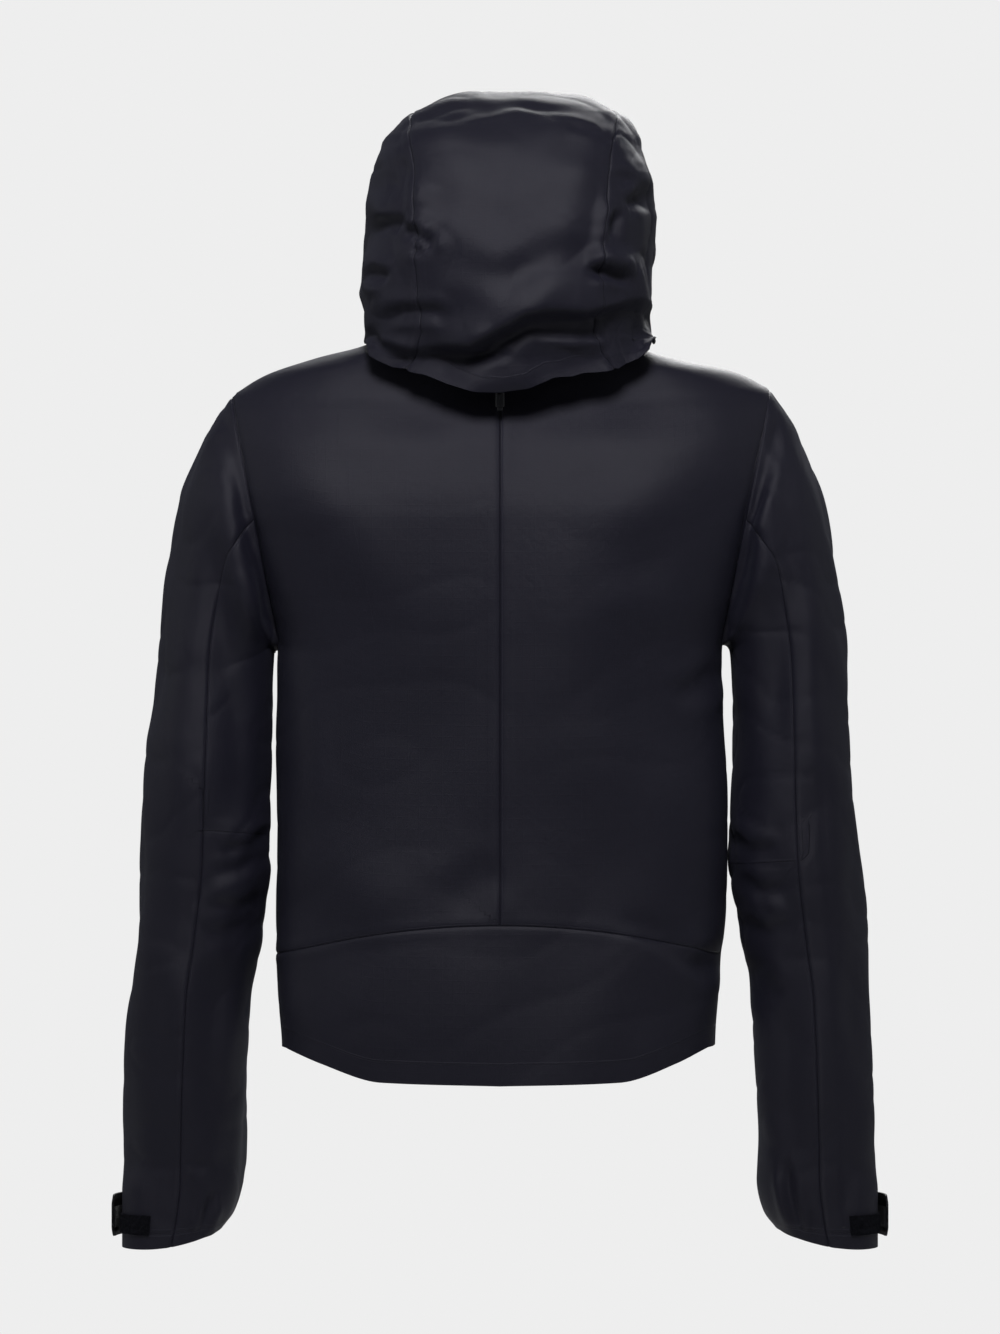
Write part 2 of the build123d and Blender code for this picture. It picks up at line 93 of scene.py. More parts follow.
def soft_light(name, place, size, power, colour=(1, 1, 1), aim=VIEW_CENTRE):
    light = bpy.data.objects.new(name, bpy.data.lights.new(name, "AREA"))
    light.data.shape, light.data.size, light.data.energy = "DISK", size, power
    light.data.color = colour
    light.location = Vector(place)
    light.rotation_euler = (aim - light.location).to_track_quat("-Z", "Y").to_euler()
    light.visible_camera = False
    scene.collection.objects.link(light)
    return light


key_light = soft_light("key_light", (.05, 2.2, 1.6), .9, 11.5, (.93, .92, 1), Vector((0, .1, .10)))
key_light.data.spread = math.radians(80)
soft_light("front_light", (-.6, -3.4, 1.7), 1.8, 80)
soft_light("left_light", (3.4, .2, .9), 1.4, 12)
soft_light("right_light", (-3.4, .2, .9), 1.4, 8)
soft_light("top_light", (0, .1, 3.0), 2.2, 3)

bpy.ops.mesh.primitive_circle_add(vertices=96, radius=3.2, fill_type="NGON", location=(0, 0, -1.45))
floor = bpy.context.object
floor.name = "floor"
matt = bpy.data.materials.new("room_floor")
matt.use_nodes = True
matt.node_tree.nodes["Principled BSDF"].inputs["Base Color"].default_value = (.80, .80, .80, 1)
matt.node_tree.nodes["Principled BSDF"].inputs["Roughness"].default_value = .9
floor.data.materials.append(matt)
bpy.ops.object.select_all(action="DESELECT")

# ---- shell cloth ---------------------------------------------------------------------------------
# The three-layer shell cloth: a close, near-black plain weave with a faint ripstop grid, laminated so
# that it crackles into small facets, with a dull satin face and a paler knitted backing inside.
DATUM = np.array((0, -.052, -.052))      # middle of the body at shoulder height, from the hang loop
CLOTH = .0012


def make_group(name, inputs, outputs):
    """An empty effect group with its named inputs and outputs."""
    group = bpy.data.node_groups.new(name, "ShaderNodeTree")
    for label, kind, value in inputs:
        socket = group.interface.new_socket(name=label, in_out="INPUT", socket_type=kind)
        if value is not None:
            socket.default_value = value
    for label, kind in outputs:
        group.interface.new_socket(name=label, in_out="OUTPUT", socket_type=kind)
    return group, group.nodes.new("NodeGroupInput"), group.nodes.new("NodeGroupOutput")


def sum_of(tree, operation, first, second=None, third=None, clamp=False):
    """A Math node on sockets or plain numbers."""
    node = tree.nodes.new("ShaderNodeMath")
    node.operation, node.use_clamp = operation, clamp
    for slot, value in zip(node.inputs, (first, second, third)):
        if isinstance(value, (int, float)):
            slot.default_value = value
        elif value is not None:
            tree.links.new(value, slot)
    return node.outputs[0]


weave, given, result = make_group(
    "close_weave", [("Cloth", "NodeSocketVector", None), ("Thread", "NodeSocketFloat", .0006),
                    ("Ripstop", "NodeSocketFloat", .005), ("Depth", "NodeSocketFloat", .00003)],
    [("Height", "NodeSocketFloat"), ("Grain", "NodeSocketFloat")])
parts = weave.nodes.new("ShaderNodeSeparateXYZ")
weave.links.new(given.outputs["Cloth"], parts.inputs[0])
turn_per_thread = sum_of(weave, "DIVIDE", 2 * math.pi, given.outputs["Thread"])
warp = sum_of(weave, "SINE", sum_of(weave, "MULTIPLY", parts.outputs["X"], turn_per_thread))
weft = sum_of(weave, "SINE", sum_of(weave, "MULTIPLY", parts.outputs["Y"], turn_per_thread))
over = sum_of(weave, "MULTIPLY", warp, weft)
grid_x = sum_of(weave, "PINGPONG", parts.outputs["X"], given.outputs["Ripstop"])
grid_y = sum_of(weave, "PINGPONG", parts.outputs["Y"], given.outputs["Ripstop"])
near_line = sum_of(weave, "MINIMUM", grid_x, grid_y)
rib = sum_of(weave, "SUBTRACT", 1, sum_of(weave, "DIVIDE", near_line, given.outputs["Thread"]), clamp=True)
raised = sum_of(weave, "MULTIPLY_ADD", rib, 1.2, over)
weave.links.new(sum_of(weave, "MULTIPLY", raised, given.outputs["Depth"]), result.inputs["Height"])
yarn = weave.nodes.new("ShaderNodeTexNoise")
yarn.inputs["Scale"].default_value = 420
yarn.inputs["Detail"].default_value = 2
streak = weave.nodes.new("ShaderNodeVectorMath")
streak.operation = "MULTIPLY"
streak.inputs[1].default_value = (.12, 1, 1)
weave.links.new(given.outputs["Cloth"], streak.inputs[0])
weave.links.new(streak.outputs[0], yarn.inputs["Vector"])
weave.links.new(sum_of(weave, "MULTIPLY_ADD", over, .25, yarn.outputs["Fac"]), result.inputs["Grain"])

crackle, given, result = make_group(
    "laminate_crackle", [("Place", "NodeSocketVector", None), ("Size", "NodeSocketFloat", 55.0),
                         ("Depth", "NodeSocketFloat", .0005)],
    [("Height", "NodeSocketFloat"), ("Patch", "NodeSocketFloat")])
small = crackle.nodes.new("ShaderNodeTexNoise")
small.inputs["Detail"].default_value = 3
small.inputs["Roughness"].default_value = .55
crackle.links.new(given.outputs["Place"], small.inputs["Vector"])
crackle.links.new(given.outputs["Size"], small.inputs["Scale"])
fold_line = sum_of(crackle, "ABSOLUTE", sum_of(crackle, "SUBTRACT", small.outputs["Fac"], .5))
broad = crackle.nodes.new("ShaderNodeTexNoise")
broad.inputs["Scale"].default_value = 9
broad.inputs["Detail"].default_value = 2
crackle.links.new(given.outputs["Place"], broad.inputs["Vector"])
where_creased = crackle.nodes.new("ShaderNodeMapRange")
where_creased.inputs["From Min"].default_value = .42
where_creased.inputs["From Max"].default_value = .68
crackle.links.new(broad.outputs["Fac"], where_creased.inputs["Value"])
lines = sum_of(crackle, "MULTIPLY", fold_line, sum_of(crackle, "ADD", where_creased.outputs[0], .25))
height = sum_of(crackle, "MULTIPLY", lines, given.outputs["Depth"])
crackle.links.new(height, result.inputs["Height"])
crackle.links.new(broad.outputs["Fac"], result.inputs["Patch"])

sewing, given, result = make_group(
    "seam_and_stitches", [("Gap", "NodeSocketFloat", 1.0), ("Run", "NodeSocketFloat", 0.0),
                          ("Stitch", "NodeSocketFloat", .0028), ("Row", "NodeSocketFloat", .0016),
                          ("Line", "NodeSocketFloat", .0004)],
    [("Height", "NodeSocketFloat"), ("Thread", "NodeSocketFloat"), ("Groove Shade", "NodeSocketFloat")])
from_line = sum_of(sewing, "ABSOLUTE", given.outputs["Gap"])
groove = sum_of(sewing, "SUBTRACT", 1, sum_of(sewing, "DIVIDE", from_line, given.outputs["Line"]), clamp=True)
from_row = sum_of(sewing, "ABSOLUTE", sum_of(sewing, "SUBTRACT", given.outputs["Gap"], given.outputs["Row"]))
row = sum_of(sewing, "SUBTRACT", 1, sum_of(sewing, "DIVIDE", from_row, .00035), clamp=True)
half_stitch = sum_of(sewing, "MULTIPLY", given.outputs["Stitch"], .5)
beat = sum_of(sewing, "PINGPONG", given.outputs["Run"], half_stitch)
beat = sum_of(sewing, "DIVIDE", beat, sum_of(sewing, "MULTIPLY", given.outputs["Stitch"], .12), clamp=True)
thread = sum_of(sewing, "MULTIPLY", row, beat)
dip = sum_of(sewing, "MULTIPLY", groove, -.0006)
pull = sum_of(sewing, "MULTIPLY", row, .0002)
puckers = sum_of(sewing, "MULTIPLY", sum_of(sewing, "SUBTRACT", beat, 1), pull)
lift = sum_of(sewing, "MULTIPLY_ADD", thread, .00022, sum_of(sewing, "ADD", dip, puckers))
sewing.links.new(lift, result.inputs["Height"])
sewing.links.new(thread, result.inputs["Thread"])
# The groove mask goes out on its own only to darken the colour along the seam: painted shade in the groove.
sewing.links.new(groove, result.inputs["Groove Shade"])


def use_group(tree, group, **values):
    """An effect group placed in a material, with that material's own values."""
    node = tree.nodes.new("ShaderNodeGroup")
    node.node_tree = group
    for label, value in values.items():
        if isinstance(value, (int, float)):
            node.inputs[label].default_value = value
        else:
            tree.links.new(value, node.inputs[label])
    return node


def mixed(tree, share, first, second):
    """A colour between two, by a share that varies over the surface."""
    node = tree.nodes.new("ShaderNodeMix")
    node.data_type = "RGBA"
    tree.links.new(share, node.inputs["Factor"])
    for slot, value in ((node.inputs[6], first), (node.inputs[7], second)):
        if isinstance(value, tuple):
            slot.default_value = (*value, 1)
        else:
            tree.links.new(value, slot)
    return node.outputs[2]


def own_value(tree, name):
    """A value that the cloth carries at each point, such as its distance off a seam."""
    node = tree.nodes.new("ShaderNodeAttribute")
    node.attribute_name = name
    return node.outputs["Fac"]


def raise_surface(tree, shader, *heights):
    """The sum of some heights, in metres, as relief on the surface."""
    total = heights[0]
    for height in heights[1:]:
        total = sum_of(tree, "ADD", total, height)
    bump = tree.nodes.new("ShaderNodeBump")
    bump.inputs["Distance"].default_value = 1
    tree.links.new(total, bump.inputs["Height"])
    tree.links.new(bump.outputs["Normal"], shader.inputs["Normal"])


def cloth_material(name, dark, light, roughness, specular, sheen=0.0, thread_size=.0006, depth=.00003,
                   crackle_depth=.0005, thread_colour=None):
    """Woven cloth in two close tones, with its crackle, seams and stitches, and painted shade along each
    seam's groove.
    """
    made = bpy.data.materials.new(name)
    made.use_nodes = True
    tree = made.node_tree
    shader = tree.nodes["Principled BSDF"]
    coords = tree.nodes.new("ShaderNodeTexCoord")
    uv = tree.nodes.new("ShaderNodeUVMap")
    uv.uv_map = "cloth"
    threads = use_group(tree, weave, Cloth=uv.outputs["UV"], Thread=thread_size, Depth=depth)
    creases = use_group(tree, crackle, Place=coords.outputs["Object"], Depth=crackle_depth)
    seam = use_group(tree, sewing, Gap=own_value(tree, "seam"), Run=own_value(tree, "run"))
    hem = use_group(tree, sewing, Gap=own_value(tree, "edge"), Run=own_value(tree, "run"), Line=.0002)
    shade = mixed(tree, threads.outputs["Grain"], dark, light)
    patch = sum_of(tree, "MULTIPLY", creases.outputs["Patch"], .55)
    shade = mixed(tree, patch, shade, tuple(c * 1.35 for c in light))
    # Painted shade: the colour darkens along each seam's groove, where shade falls in the recess.
    shade = mixed(tree, seam.outputs["Groove Shade"], shade, tuple(c * .55 for c in dark))
    stitch_shade = thread_colour or tuple(c * 1.6 for c in light)
    shade = mixed(tree, seam.outputs["Thread"], shade, stitch_shade)
    shade = mixed(tree, hem.outputs["Thread"], shade, stitch_shade)
    tree.links.new(shade, shader.inputs["Base Color"])
    rough = sum_of(tree, "MULTIPLY_ADD", creases.outputs["Patch"], .12, roughness - .06)
    tree.links.new(rough, shader.inputs["Roughness"])
    shader.inputs["Specular IOR Level"].default_value = specular
    shader.inputs["Sheen Weight"].default_value = sheen
    shader.inputs["Sheen Roughness"].default_value = .6
    shader.inputs["Sheen Tint"].default_value = (.75, .78, 1, 1)
    raise_surface(tree, shader, threads.outputs["Height"], creases.outputs["Height"],
                  seam.outputs["Height"], hem.outputs["Height"])
    return made


shell = cloth_material("shell_cloth", (.0060, .0056, .0112), (.0088, .0083, .0156), .52, .28, .03)
backing = cloth_material("shell_backing", (.030, .030, .034), (.042, .042, .047), .85, .2, .15,
                         thread_size=.0011, depth=.00008, crackle_depth=.0003)


def eased(places, rows, at):
    """Sizes between the ones given, as arrays, eased so that none overshoots."""
    places, rows, at = np.asarray(places, float), np.asarray(rows, float), np.asarray(at, float)
    gaps = np.diff(places)
    steps = np.diff(rows, axis=0) / gaps[:, None]
    before, after = steps[:-1], steps[1:]
    total = np.where(before + after == 0, 1, before + after)
    inner = np.where(before * after > 0, 2 * before * after / total, 0)
    slopes = np.vstack([steps[:1], inner, steps[-1:]])
    i = np.clip(np.searchsorted(places, at, side="right") - 1, 0, len(places) - 2)
    gap = gaps[i][..., None]
    t = ((at - places[i]) / gaps[i])[..., None]
    return (rows[i] * (2 * t ** 3 - 3 * t ** 2 + 1) + rows[i + 1] * (3 * t ** 2 - 2 * t ** 3)
            + gap * slopes[i] * (t ** 3 - 2 * t ** 2 + t) + gap * slopes[i + 1] * (t ** 3 - t ** 2))


def outline(turn, half, front, back, power, inward=0.0, slant=1.0):
    """Points of a rounded outline: turn 0 is its +u end, 90 the back and 270 the front."""
    c, s = np.cos(np.radians(turn)), np.sin(np.radians(turn))
    reach = (np.abs(c) ** power + np.abs(s) ** power) ** (1 / power)
    depth = np.where(s > 0, back, front) - inward
    return (half - inward * slant) * c / reach, depth * s / reach


def spaced(start, end, step, marks=(), closeness=(.0007, .0018, .0035)):
    """Places from start to end at about one step, closer together on each side of the marks."""
    places = list(np.linspace(start, end, round((end - start) / step) + 1))
    reach = max(closeness) * 1.4
    for mark in marks:
        places = [p for p in places if abs(p - mark) > reach or p in (start, end)]
        places += [mark, *(mark + c for c in closeness), *(mark - c for c in closeness)]
    return np.array(sorted({round(p, 6) for p in places if start - 1e-9 <= p <= end + 1e-9}))


def smooth(value, start, end):
    """0 before the start, 1 past the end, and eased between."""
    t = np.clip((value - start) / (end - start), 0, 1)
    return t * t * (3 - 2 * t)


def follow(p, q, line):
    """For places (p, q): the distance off a line, with its sign, and the distance run along it."""
    best, gap, run = np.full(p.shape, 1e9), np.zeros(p.shape), np.zeros(p.shape)
    start = 0.0
    for (ax, ay), (bx, by) in zip(line, line[1:]):
        dx, dy = bx - ax, by - ay
        length = math.hypot(dx, dy)
        t = np.clip(((p - ax) * dx + (q - ay) * dy) / length ** 2, 0, 1)
        off = np.hypot(p - ax - t * dx, q - ay - t * dy)
        side = np.where(dx * (q - ay) - dy * (p - ax) >= 0, 1, -1)
        closer = off < best
        gap, run = np.where(closer, off * side, gap), np.where(closer, start + t * length, run)
        best = np.minimum(best, off)
        start += length
    return gap, run, start


def fold(p, q, kind, width, depth, line):
    """How far one fold lifts the cloth. Its line is drawn as seen, in metres.

    A crease is pressed in, a ridge stands up, and a lap is a ridge that breaks off sharply on the right
    of its line and leaves the cloth below it sunk."""
    gap, run, total = follow(p, q, line)
    ends = smooth(np.minimum(run, total - run), -.25 * width, .3 * total)
    x = gap / width
    if kind == "crease":
        shape = -np.exp(-x * x) + .4 * np.exp(-((np.abs(x) - 1.9) / .9) ** 2)
    elif kind == "ridge":
        shape = np.exp(-x * x)
    else:
        shape = np.where(x > 0, np.exp(-(x / 2.2) ** 2), np.exp(-(x / .55) ** 2))
        shape = shape - .7 * np.exp(-((x + 1.5) / .8) ** 2)
    return depth * ends * shape


def ripple(places, wavelength, seed, waves=16):
    """An uneven swell of about 1 that varies over the given lengths along x, y and z."""
    chance = np.random.default_rng(seed)
    total = 0
    for _ in range(waves):
        direction = chance.normal(size=3)
        direction *= chance.uniform(.6, 1.5) / np.linalg.norm(direction)
        total = total + np.sin(places @ (2 * math.pi * direction / np.array(wavelength))
                               + chance.uniform(0, 2 * math.pi))
    return total / math.sqrt(waves / 2)


def crumple(places, wavelength, seed):
    """Creases where the swell changes sign, between soft facets: about -1 at a crease and 0 off it."""
    return -np.exp(-np.abs(ripple(places, wavelength, seed)) * 2.2)


def outward(grid, closed=False):
    """The way the cloth faces at each point of a grid, away from its rows' middles."""
    along = np.gradient(grid, axis=0)
    across = (np.roll(grid, -1, 1) - np.roll(grid, 1, 1)) if closed else np.gradient(grid, axis=1)
    faces = np.cross(across, along)
    faces /= np.linalg.norm(faces, axis=-1, keepdims=True) + 1e-12
    middle = grid.mean(axis=1, keepdims=True)
    return -faces if (faces * (grid - middle)).sum() < 0 else faces


def laid_flat(grid, centre):
    """Cloth coordinates of a grid: the distance along its rows from one column, and down its columns."""
    steps = np.linalg.norm(np.diff(grid, axis=1), axis=-1)
    across = np.concatenate([np.zeros((len(grid), 1)), np.cumsum(steps, axis=1)], axis=1)
    across = across - across[:, centre:centre + 1]
    steps = np.linalg.norm(np.diff(grid, axis=0), axis=-1)
    down = np.concatenate([np.zeros((1, grid.shape[1])), np.cumsum(steps, axis=0)], axis=0)
    return across, down


def grid_faces(grid, ways, closed=False):
    """The quads of a grid, turned to face the way its cloth faces."""
    rows, columns = grid.shape[:2]
    last = columns if closed else columns - 1
    quads = []
    for r in range(rows - 1):
        for c in range(last):
            after = (c + 1) % columns
            this_row, next_row = r * columns, (r + 1) * columns
            quads.append((this_row + c, this_row + after, next_row + after, next_row + c))
    a, b, d = grid[0, 0], grid[0, 1], grid[1, 0]
    if np.dot(np.cross(b - a, d - a), ways[0, 0]) < 0:
        quads = [face[::-1] for face in quads]
    return quads


def sew(name, points, faces, ways, thickness, across, down, seam=None, run=None, edge=None,
        materials=None, girth=None):
    """A piece of cloth with its thickness, from the points, faces and facing of its outer side."""
    count = len(points)
    rims = {}
    for face in faces:
        for a, b in zip(face, face[1:] + face[:1]):
            if (b, a) in rims:
                del rims[(b, a)]
            else:
                rims[(a, b)] = True
    solid = faces + [tuple(i + count for i in reversed(face)) for face in faces]
    solid += [(b, a, a + count, b + count) for a, b in rims]
    mesh = bpy.data.meshes.new(name)
    mesh.from_pydata(np.vstack([points, points - ways * thickness]).tolist(), [], solid)
    corners = np.zeros(len(mesh.loops), np.int32)
    mesh.loops.foreach_get("vertex_index", corners)
    corner_faces = np.repeat(np.arange(len(solid)), [len(face) for face in solid])
    mesh.polygons.foreach_set("use_smooth", np.ones(len(solid), bool))
    kinds = np.zeros(len(solid), np.int32)
    kinds[len(faces):2 * len(faces)] = 1
    mesh.polygons.foreach_set("material_index", kinds)
    for made in materials or (shell, backing):
        mesh.materials.append(made)
    face_ways = np.zeros(len(solid) * 3, np.float32)
    mesh.polygons.foreach_get("normal", face_ways)
    facing = np.vstack([ways, -ways])[corners]
    on_rim = corner_faces >= 2 * len(faces)
    facing[on_rim] = face_ways.reshape(-1, 3)[corner_faces[on_rim]]
    flat = np.stack([across, down], -1)
    flat = np.vstack([flat, flat])[corners]
    if girth is not None:
        girths = np.concatenate([girth, girth])[corners]
        widest = np.full(len(solid), -1e9)
        np.maximum.at(widest, corner_faces, flat[:, 0])
        behind = widest[corner_faces] - flat[:, 0] > girths / 2
        flat[behind, 0] += girths[behind]
    layer = mesh.uv_layers.new(name="cloth")
    layer.data.foreach_set("uv", flat.astype(np.float32).ravel())
    for label, values in (("seam", seam), ("run", run), ("edge", edge)):
        values = np.full(count, 1.0) if values is None else values
        mesh.attributes.new(label, "FLOAT", "POINT").data.foreach_set(
            "value", np.concatenate([values, values + (0 if label == "run" else 1)]).astype(np.float32))
    mesh.normals_split_custom_set(facing.tolist())
    mesh.update()
    piece = bpy.data.objects.new(name, mesh)
    scene.collection.objects.link(piece)
    return piece


def sew_grid(name, grid, thickness, closed=False, centre=0, **facts):
    """A piece of cloth from a whole grid of points."""
    ways = outward(grid, closed)
    across, down = laid_flat(grid, centre)
    girth = None
    if closed:
        girth = across[:, -1] + np.linalg.norm(grid[:, 0] - grid[:, -1], axis=-1)
        girth = np.repeat(girth, grid.shape[1])
    facts = {label: np.ravel(value) if isinstance(value, np.ndarray) else value
             for label, value in facts.items()}
    return sew(name, grid.reshape(-1, 3), grid_faces(grid, ways, closed), ways.reshape(-1, 3), thickness,
               across.ravel(), down.ravel(), girth=girth, **facts)


# ---- body ----------------------------------------------------------------------------------------
# Back, hem band and the two fronts, cut from the shell cloth, sewn and taped at the centre back, the
# sides and the hem band. The back hem drops lower than the front, and the cloth hangs in soft folds.
BODY_SHAPE = np.array([
    # height, half width, back depth, roundness, slant of the top
    (-.640, .189, .112, 2.8, 1.0),
    (-.598, .190, .112, 2.8, 1.0),
    (-.540, .194, .110, 2.8, 1.0),
    (-.480, .197, .107, 2.8, 1.0),
    (-.400, .1955, .106, 2.8, 1.0),
    (-.320, .1965, .109, 2.8, 1.0),
    (-.255, .196, .114, 2.9, 1.0),
    (-.200, .207, .117, 3.2, 1.0),
    (-.138, .224, .118, 3.7, 1.0),
    (-.080, .238, .107, 3.4, 1.1),
    (-.045, .243, .092, 3.0, 1.6),
    (-.031, .239, .085, 2.8, 2.6),
    (-.020, .225, .081, 2.7, 3.0),
    (-.008, .202, .077, 2.6, 3.2),
    (.004, .162, .071, 2.6, 3.2),
    (.015, .122, .066, 2.6, 2.6),
    (.028, .097, .062, 2.6, 1.4),
])
SIDE_LINE = np.concatenate([[0], np.cumsum(np.hypot(*np.diff(BODY_SHAPE[:, :2], axis=0).T))])
HEM_Z, TAIL_DROP = -.598, .029
HEM_SEAM_Z, HEM_SEAM_FALL = -.489, .030
ZIP_HALF = .008
ARMHOLE_TOP, ARMHOLE_BOTTOM = np.array((.234, 0, -.033)), np.array((.1935, 0, -.243))
armhole_way = np.array((ARMHOLE_TOP[2] - ARMHOLE_BOTTOM[2], 0, ARMHOLE_BOTTOM[0] - ARMHOLE_TOP[0]))
armhole_way = armhole_way / np.linalg.norm(armhole_way)

# Folds of the body: kind, width, depth and the line seen from behind, x and height.
BACK_FOLDS = [
    ("ridge", .020, .0010, [(-.198, -.250), (-.199, -.420)]),
    ("lap", .012, .0035, [(-.096, -.494), (-.140, -.518), (-.178, -.552)]),
    ("crease", .016, .0022, [(.046, -.476), (.020, -.452), (-.004, -.436)]),
    ("ridge", .030, .0035, [(.190, -.400), (.140, -.452), (.085, -.492)]),
    ("crease", .034, .0035, [(.188, -.455), (.140, -.505), (.100, -.530)]),
    ("crease", .045, .0045, [(-.192, -.360), (-.135, -.300), (-.095, -.210)]),
    ("ridge", .040, .0030, [(-.196, -.450), (-.130, -.380), (-.060, -.300)]),
    ("crease", .028, .0035, [(-.214, -.105), (-.160, -.150), (-.095, -.205)]),
    ("crease", .026, .0030, [(.214, -.120), (.165, -.175), (.120, -.250)]),
    ("ridge", .024, .0030, [(.196, -.235), (.172, -.330), (.160, -.430)]),
    ("crease", .014, .0030, [(.192, -.260), (.184, -.330), (.186, -.400)]),
    ("crease", .010, .0030, [(-.193, -.262), (-.178, -.282), (-.150, -.296)]),
    ("crease", .012, .0040, [(-.198, -.505), (-.186, -.522), (-.168, -.536)]),
    ("ridge", .018, .0022, [(-.190, -.545), (-.150, -.585), (-.110, -.615)]),
    ("ridge", .020, .0020, [(.190, -.540), (.150, -.590), (.120, -.620)]),
    ("crease", .022, .0022, [(.150, -.010), (.100, -.034), (.030, -.052)]),
    ("crease", .022, .0022, [(-.150, -.010), (-.100, -.034), (-.030, -.052)]),
]
FRONT_FOLDS = [
    ("crease", .030, .0040, [(.215, -.120), (.150, -.190), (.060, -.260)]),
    ("ridge", .030, .0035, [(.205, -.170), (.150, -.250), (.080, -.300)]),
    ("crease", .030, .0040, [(-.215, -.110), (-.145, -.175), (-.055, -.225)]),
    ("ridge", .028, .0035, [(-.205, -.165), (-.150, -.235), (-.075, -.290)]),
    ("crease", .024, .0030, [(.192, -.520), (.150, -.545), (.090, -.560)]),
    ("crease", .022, .0030, [(-.190, -.500), (-.145, -.540), (-.085, -.566)]),
    ("lap", .016, .0030, [(.180, -.030), (.120, -.060), (.060, -.080)]),
    ("lap", .016, .0030, [(-.170, -.028), (-.115, -.062), (-.055, -.085)]),
]


def body_point(turn, along_side, inward=0.0):
    """A point of the body's shell, by its turn and its distance up the side line."""
    z, half, back, power, slant = np.moveaxis(eased(SIDE_LINE, BODY_SHAPE, along_side), -1, 0)
    u, v = outline(turn, half, .090 + .06 * (.060 - z), back, power, inward, slant)
    return np.stack([u, v, z], -1)


def body_relief(places):
    """How far folds lift the body's cloth at some places about the datum."""
    x, y, z = np.moveaxis(places, -1, 0)
    behind = smooth(y, -.02, .03)
    lift = np.zeros(x.shape)
    for kind, width, depth, line in BACK_FOLDS:
        lift += behind * fold(x, z, kind, width, depth, line)
    for kind, width, depth, line in FRONT_FOLDS:
        lift += (1 - behind) * fold(x, z, kind, width, depth, line)
    lift += .0016 * ripple(places, (.22, .22, .30), 3) + .0007 * ripple(places, (.09, .09, .16), 8)
    lift += .0006 * crumple(places, (.16, .16, .10), 21) * smooth(-z, .02, .2)
    at_zip = smooth(np.abs(x), .012, .05) + behind
    at_pocket = 1 - (1 - smooth(np.abs(np.abs(x) - .100), .012, .035)) * (1 - behind) * smooth(-z, .30, .33) \
        * (1 - smooth(-z, .48, .51))
    at_hem = smooth(z, HEM_Z, HEM_Z + .04) * .7 + .3
    at_neck = 1 - smooth(z, .0, .026)
    return lift * np.clip(at_zip, 0, 1) * at_pocket * (at_hem + behind * (1 - at_hem)) * at_neck


def tail_height(x, y):
    """The hem's height: level in front, and dropping towards the centre at the back."""
    drop = eased((0, .105, .156, .188), [[1], [.912], [.4], [0]], np.clip(np.abs(x), 0, .188))[..., 0]
    return HEM_Z - TAIL_DROP * drop * (y > 0)


def beside_centre(distance, half, power):
    """How many degrees off the centre front a distance beside it is, on a rounded outline."""
    share = distance / half
    return np.degrees(np.arctan(share / (1 - share ** power) ** (1 / power)))


def zip_turn(along_side):
    """How many degrees off the centre front the zip's edge is, at a distance up the side line."""
    _, half, _, power, _ = np.moveaxis(eased(SIDE_LINE, BODY_SHAPE, along_side), -1, 0)
    return beside_centre(ZIP_HALF, half, power)


def up_the_side(z):
    """The distance up the side line at a height."""
    return np.interp(z, BODY_SHAPE[:, 0], SIDE_LINE)


def nearest_seam(gaps, runs=None):
    """The distance off the nearest of several seams, and the distance run along that seam."""
    nearest = np.abs(gaps).argmin(axis=0)[None]
    found = [np.take_along_axis(values, nearest, 0)[0] for values in (gaps, runs) if values is not None]
    return found if len(found) > 1 else found[0]


def pressed(gap, width):
    """How a taped seam sinks along its line, between the low ridges at its sides."""
    return -.0008 * np.exp(-(gap / width) ** 2) + .0005 * np.exp(-((np.abs(gap) - .005) / .0035) ** 2)


SIDE_SEAM = .2466            # share of the way round, from the zip, at which the side seams run
BODY_ROUND = 1.02            # about how far it is round the body
marks = [SIDE_SEAM * BODY_ROUND, .5 * BODY_ROUND, (1 - SIDE_SEAM) * BODY_ROUND]
shares = spaced(0, BODY_ROUND, .0036, marks) / BODY_ROUND
low_rows = spaced(0, .125, .004, [.125]) / .125
high_rows = spaced(0, .66, .004, [0]) / .66
flat_turn = -90 + 2.4 + shares * (360 - 4.8)
rim = body_point(flat_turn, np.full(shares.shape, up_the_side(-.56)))
hem_at = up_the_side(tail_height(rim[:, 0], rim[:, 1]))
seam_at = up_the_side(HEM_SEAM_Z - HEM_SEAM_FALL * (rim[:, 0] / .2) ** 2)
seam_at = np.where(rim[:, 1] < 0, up_the_side(HEM_SEAM_Z - HEM_SEAM_FALL * (.19 / .2) ** 2), seam_at)
climb = np.vstack([hem_at + (seam_at - hem_at) * low_rows[:, None],
                   (seam_at + (SIDE_LINE[-1] - seam_at) * high_rows[:, None])[1:]])
opening = zip_turn(climb)
turns = -90 + opening + shares * (360 - 2 * opening)
smooth_body = body_point(turns, climb)
ways = outward(smooth_body)
across, down = laid_flat(smooth_body, len(shares) // 2)
behind = smooth_body[..., 1] > 0
round_run = shares * BODY_ROUND
centre_gap = (round_run - .5 * BODY_ROUND) * np.ones_like(climb)
round_run = round_run * np.ones_like(climb)
side_gap = np.where(round_run < .5 * BODY_ROUND, round_run - marks[0], marks[2] - round_run)
band_gap = np.where(behind, climb - seam_at, 1)
hem_gap = climb - hem_at
centre_gap = np.where(climb > seam_at, centre_gap, 1)
armhole_gap = -((smooth_body - ARMHOLE_TOP) @ armhole_way)
armhole_gap = np.minimum(armhole_gap, -((smooth_body * (-1, 1, 1) - ARMHOLE_TOP) @ armhole_way))
neck_gap = SIDE_LINE[-1] - climb
armhole_gap = np.where(smooth_body[..., 2] > -.245, armhole_gap, 1)
gaps = np.stack([centre_gap, side_gap, band_gap, armhole_gap, neck_gap])
seam_gap, seam_run = nearest_seam(gaps, np.stack([climb, climb, round_run, smooth_body[..., 2], round_run]))
relief = body_relief(smooth_body) + pressed(seam_gap, .0011)
body_grid = smooth_body + ways * relief[..., None]
body_ways = outward(body_grid)

